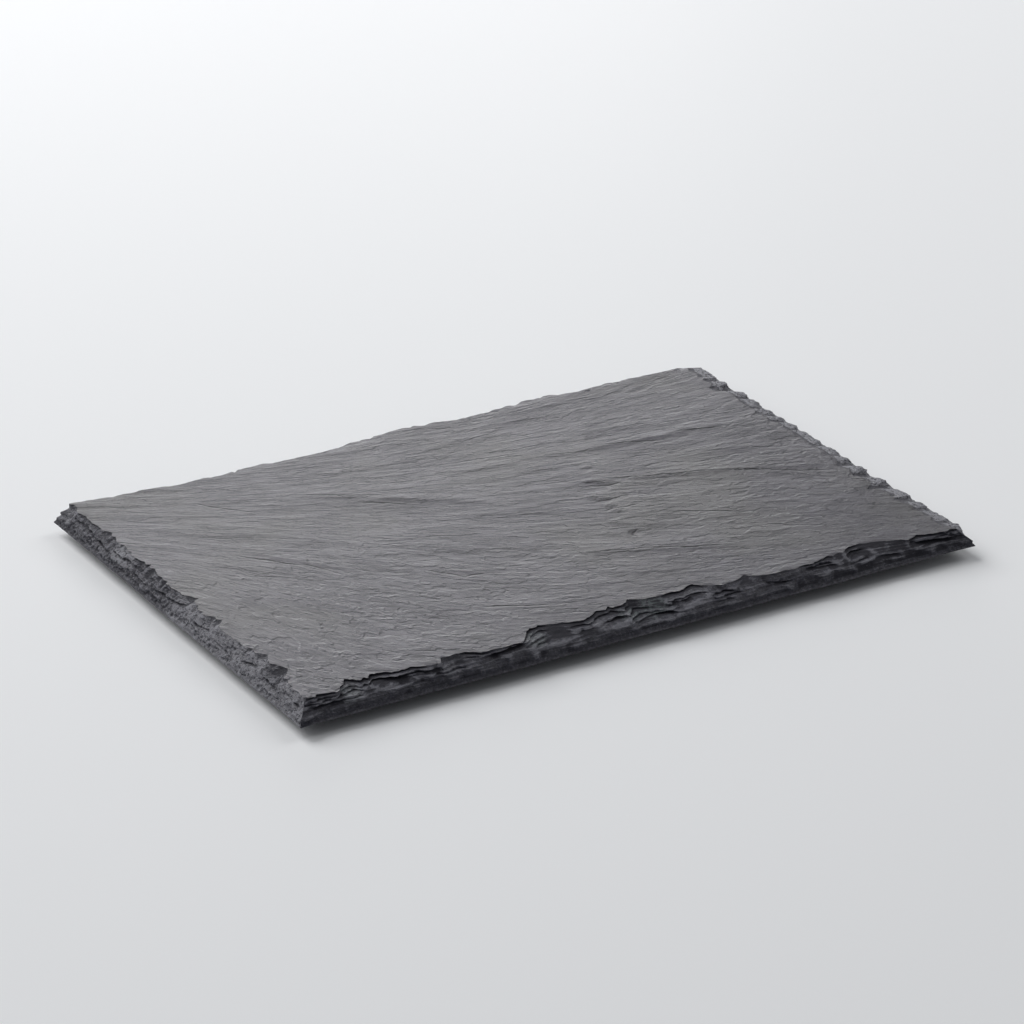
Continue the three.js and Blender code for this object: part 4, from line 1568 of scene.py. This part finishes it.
    def add_edge(self, stone: StoneMesh, side: Side) -> Array:
        """Adds the points of one side's edge.

        Args:
            stone: The mesh they are added to.
            side: The side.

        Returns:
            The points' numbers, one row for each ring from the underside up.
        """
        share = np.arange(side.stations) / side.stations
        flat = self.along(side, share, 0 * share)
        settle = smooth(np.minimum(share, 1 - share) * 2 * self.halves[side.axis] / self.settle_reach)
        rings = self.rings(side, flat, settle)
        share = share[:, None]
        along = self.along(side, share, rings.level)
        main = side.main_inset(along, rings.level)
        inset = side.fine_inset(along, rings, self.thickness)
        place = self.place_points(side, share, rings.level, inset, main)
        x, y = place[..., 0], place[..., 1]
        z = mix(self.underside_height(x[:, :1], y[:, :1]), self.top_height(x[:, -1:], y[:, -1:]), rings.level)
        # Painted light and shade, partly wear: a point that stands out from its neighbours gets a positive
        # mark, painted pale as a worn rim that catches the light; a point set back in a hollow or slit gets a
        # negative one, painted dark as shade.
        wear = np.clip((blurred(inset, self.glint_and_shade_reach) - inset) / self.glint_and_shade_depth, -1, 1)
        mineral = np.max([spot.amount(x, y) for spot in self.minerals], 0)
        mineral = mineral * smooth((rings.level - self.mineral_from) / self.mineral_blend)
        # Painted light and shade: the side's patches make stretches of broken stone pale where they face the
        # lamps and dark where they lie in shade, with some tone of the stone.
        waver = noise(along / self.patch_length, rings.level * self.patch_rows, side.seed + Pattern.PATCHES)
        ragged = along + self.patch_ragged * (waver - 0.5)
        pale = sum((patch.at(ragged, rings.level, self.thickness) for patch in side.patches), 0 * along)
        broken = np.where(rings.level < 1, 1.0, 0.0)
        grainy = side.grainy * smooth((side.grainy_to - rings.level) / side.grainy_blend + 0.5)
        return stone.add_points(np.stack([x, y, z], -1), broken=broken, wear=wear, mineral=mineral,
                                pale=pale, grainy=grainy).T

    def strip_points(self, side: Side, count: int) -> Array:
        """Gives a row of points just inside the rim, clear of its deepest place near by.

        Args:
            side: The side.
            count: Number of cells along the row.

        Returns:
            An array of x and y.
        """
        share = np.arange(count + 1) / count
        one = np.ones_like(share)
        along = self.along(side, share, one)
        offsets = np.linspace(-self.rim_search, self.rim_search, self.rim_samples)
        near = [along + offset * self.rim_strip for offset in offsets]
        rim = Rings.rim(count + 1, len(self.layers) - 2)
        inset = np.max([side.fine_inset(at, rim, self.thickness) for at in near], 0)
        main = np.max([side.main_inset(at, one) for at in near], 0)
        place = self.place_points(side, share, one, np.maximum(inset, main), main)
        place[:, 1 - side.axis] -= side.start[1 - side.axis] * self.rim_strip
        place[:, side.axis] *= 1 - self.rim_strip / self.halves[side.axis]
        return place

    def riven_grid(self) -> Array:
        """Gives the riven face's points: an even grid that follows the rim near it.

        Returns:
            An array of x, y and z.
        """
        columns, rows = self.top_cells
        counts = [columns, rows, columns, rows]
        front, right, back, left = (self.strip_points(side, n) for side, n in zip(self.sides, counts))
        back, left = back[::-1], left[::-1]
        u, v = np.meshgrid(np.arange(columns + 1) / columns, np.arange(rows + 1) / rows, indexing="ij")
        u, v = u[..., None], v[..., None]
        corner = [front[0], front[-1], back[-1], back[0]]
        even_front, even_back = mix(corner[0], corner[1], u), mix(corner[3], corner[2], u)
        even_left, even_right = mix(corner[0], corner[3], v), mix(corner[1], corner[2], v)
        place = mix(even_front, even_back, v)
        length, depth = 2 * self.halves[0], 2 * self.halves[1]
        for border, even, gap in (
                (front[:, None], even_front, v * depth), (back[:, None], even_back, (1 - v) * depth),
                (left[None], even_left, u * length), (right[None], even_right, (1 - u) * length)):
            place = place + (border - even) * np.clip(1 - gap / self.rim_reach, 0, 1) ** self.rim_fade
        x, y = place[..., 0], place[..., 1]
        return np.stack([x, y, self.top_height(x, y)], -1)

    def underside_grid(self) -> Array:
        """Gives the underside's points: a plain grid set in from the outline.

        Returns:
            An array of x, y and z.
        """
        columns, rows = self.underside_cells
        x = 2 * self.halves[0] * (1 - 1 / columns) * (np.arange(columns + 1) / columns - 0.5)
        y = 2 * self.halves[1] * (1 - 1 / rows) * (np.arange(rows + 1) / rows - 0.5)
        x, y = np.meshgrid(x, y, indexing="ij")
        return np.stack([x, y, self.underside_height(x, y)], -1)

    def add_face(self, stone: StoneMesh, grid: Array, ring: Array, up: bool, **marks: Any) -> None:
        """Adds a face that lies flat, and the band that joins it to a ring round it.

        Args:
            stone: The mesh it is added to.
            grid: The face's points.
            ring: Numbers of the ring's points.
            up: Whether the faces look up.
            marks: Values of the named marks on the face.
        """
        ids = stone.add_points(grid, **marks)
        cell = [ids[:-1, :-1], ids[1:, :-1], ids[1:, 1:], ids[:-1, 1:]]
        stone.add_quads(*(cell if up else cell[::-1]))
        borders = [ids[:, 0], ids[-1, :], ids[::-1, -1], ids[0, ::-1]]
        first = 0
        for side, inner in zip(self.sides, borders):
            outer = np.take(ring, range(first, first + side.stations + 1), mode="wrap")
            stone.add_zipper(outer, inner, up)
            first += side.stations

    def build(self) -> bpy.types.Object:
        """Builds the stone and dresses it.

        Returns:
            The finished piece, riding on the body and standing for its solid.
        """
        stone = StoneMesh()
        ids = np.concatenate([self.add_edge(stone, side) for side in self.sides], 1)
        lower, upper = ids[:-1], ids[1:]
        stone.add_quads(lower, np.roll(lower, -1, 1), np.roll(upper, -1, 1), upper)
        riven = self.riven_grid()
        x, y = riven[..., 0], riven[..., 1]
        rift = self.step.height_at(x, y, self.grain.across(x, y)) / self.step.height
        self.add_face(stone, riven, ids[-1], True, rift=rift)
        self.add_face(stone, self.underside_grid(), ids[0], False, broken=self.underside_broken)
        piece = stone.build(self.name, self.crease)
        piece.data.materials.append(SlateFinish().material(self.grain))
        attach(piece, BODY)
        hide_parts(self.node)
        return piece


class FootPlace(Enum):
    """The solids of the four feet."""

    FRONT_LEFT = "foot_front_left"
    FRONT_RIGHT = "foot_front_right"
    BACK_LEFT = "foot_back_left"
    BACK_RIGHT = "foot_back_right"


@dataclass
class RubberFoot:
    """A turned rubber button with a flat rest, and the glue disc that holds it to the stone."""

    place: FootPlace
    film: float = 0.3
    film_inset: float = 0.5
    rest_radius: float = 5
    sides: int = 72
    rounding_steps: int = 7
    bulge: float = 0.8
    lip: Sequence[tuple[float, float]] = ((0, 0.35), (0.06, 0.12), (0.2, 0))
    crease: float = 38

    def __post_init__(self) -> None:
        """Takes the foot's centre, radius and height from its solid."""
        low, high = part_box(self.place.value)
        self.centre = ((low.x + high.x) / 2 / MM, (low.y + high.y) / 2 / MM)
        self.radius = (high.x - low.x) / 2 / MM
        self.height = high.z / MM

    def profile(self) -> list[tuple[float, float]]:
        """Gives radius and height from the middle of the rest to the middle of the glue disc.

        Returns:
            Pairs of radius and height in millimetres.
        """
        rounding = self.radius - self.rest_radius
        turns = [k / self.rounding_steps * math.pi / 2 for k in range(self.rounding_steps + 1)]
        curve = [(self.rest_radius + self.bulge * rounding * math.sin(t), rounding * (1 - math.cos(t)))
                 for t in turns]
        top = self.height
        lip = [(self.radius - inset, top - drop) for inset, drop in self.lip]
        disc = self.radius - self.film_inset
        return [(0, 0), (self.rest_radius * 0.5, 0), *curve, *lip, (disc, top), (disc, top + self.film),
                (0, top + self.film)]

    def build(self, material: bpy.types.Material) -> bpy.types.Object:
        """Builds the foot and dresses it.

        Args:
            material: The rubber.

        Returns:
            The finished piece.
        """
        profile = self.profile()
        points, faces = [], []
        angles = [2 * math.pi * k / self.sides for k in range(self.sides)]
        for radius, height in profile[1:-1]:
            points += [(self.centre[0] + radius * math.cos(a), self.centre[1] + radius * math.sin(a), height)
                       for a in angles]
        rows = len(profile) - 2
        for row in range(rows - 1):
            for k in range(self.sides):
                n = (k + 1) % self.sides
                low, high = row * self.sides, (row + 1) * self.sides
                faces.append([low + k, low + n, high + n, high + k])
        faces.append(list(range(self.sides))[::-1])
        faces.append([(rows - 1) * self.sides + k for k in range(self.sides)])
        mesh = bpy.data.meshes.new(self.place.value)
        mesh.from_pydata([tuple(c * MM for c in p) for p in points], [], faces)
        mesh.polygons.foreach_set("use_smooth", [True] * len(mesh.polygons))
        mesh.set_sharp_from_angle(angle=math.radians(self.crease))
        piece = bpy.data.objects.new("rubber_" + self.place.value, mesh)
        bpy.context.scene.collection.objects.link(piece)
        mesh.materials.append(material)
        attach(piece, BODY)
        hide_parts(self.place.value)
        return piece


@dataclass(frozen=True)
class Lamp:
    """A soft square lamp that points at the slab."""

    name: str
    place: tuple[float, float, float]
    size: float
    power: float

    def build(self) -> bpy.types.Object:
        """Makes the lamp.

        Returns:
            The lamp.
        """
        data = bpy.data.lights.new(self.name, "AREA")
        data.size = self.size
        data.energy = self.power
        lamp = bpy.data.objects.new(self.name, data)
        lamp.location = self.place
        lamp.rotation_euler = (-Vector(self.place)).to_track_quat("-Z", "Y").to_euler()
        bpy.context.scene.collection.objects.link(lamp)
        return lamp


@dataclass
class Studio:
    """The pale floor, the soft light and the camera."""

    camera_place: tuple[float, float, float] = (-0.8167, -1.3659, 0.7488)
    camera_aim: tuple[float, float, float] = (0.0157, 0.0263, 0.0)
    lens: float = 157.04
    sensor: float = 36
    far: float = 50
    floor_size: float = 8.0
    lamps: Sequence[Lamp] = (
        Lamp("window", (-0.8, 2.55, 2.2), 2.3, 101),
        Lamp("backdrop", (1.4, 2.9, 0.55), 1.1, 15.4),
        Lamp("right_fill", (2.2, 0.3, 1.8), 1.5, 16),
        Lamp("left_fill", (-2.4, 0.8, 1.6), 1.5, 8),
    )
    sky: float = 0.17
    sky_colour: Colour = (0.95, 0.97, 1.0, 1)

    def build(self) -> None:
        """Makes the camera, the floor and the lights."""
        scene = bpy.context.scene
        data = bpy.data.cameras.new("camera")
        data.lens, data.sensor_width = self.lens, self.sensor
        data.clip_end = self.far
        camera = bpy.data.objects.new("camera", data)
        camera.location = self.camera_place
        aim = Vector(self.camera_aim) - Vector(self.camera_place)
        camera.rotation_euler = aim.to_track_quat("-Z", "Y").to_euler()
        scene.collection.objects.link(camera)
        scene.camera = camera
        half = self.floor_size / 2
        mesh = bpy.data.meshes.new("floor")
        mesh.from_pydata([(-half, -half, 0), (half, -half, 0), (half, half, 0), (-half, half, 0)], [],
                         [(0, 1, 2, 3)])
        floor = bpy.data.objects.new("floor", mesh)
        scene.collection.objects.link(floor)
        mesh.materials.append(FloorFinish().material())
        for lamp in self.lamps:
            lamp.build()
        world = bpy.data.worlds.new("studio")
        world.use_nodes = True
        background = world.node_tree.nodes["Background"]
        background.inputs["Color"].default_value = self.sky_colour
        background.inputs["Strength"].default_value = self.sky
        scene.world = world
        scene.view_settings.view_transform = "Standard"


def main() -> None:
    """Builds the stone, its feet and the studio, and reports each piece."""
    logging.basicConfig(level=logging.INFO, format="%(message)s")
    Studio().build()
    feet = [RubberFoot(place) for place in FootPlace]
    slab = SlateSlab(feet=[foot.centre for foot in feet]).build()
    LOG.info("%s: %d points, %d faces", slab.name, len(slab.data.vertices), len(slab.data.polygons))
    rubber = RubberFinish().material()
    for foot in feet:
        piece = foot.build(rubber)
        LOG.info("%s: %d points", piece.name, len(piece.data.vertices))


if __name__ == "__main__":
    main()
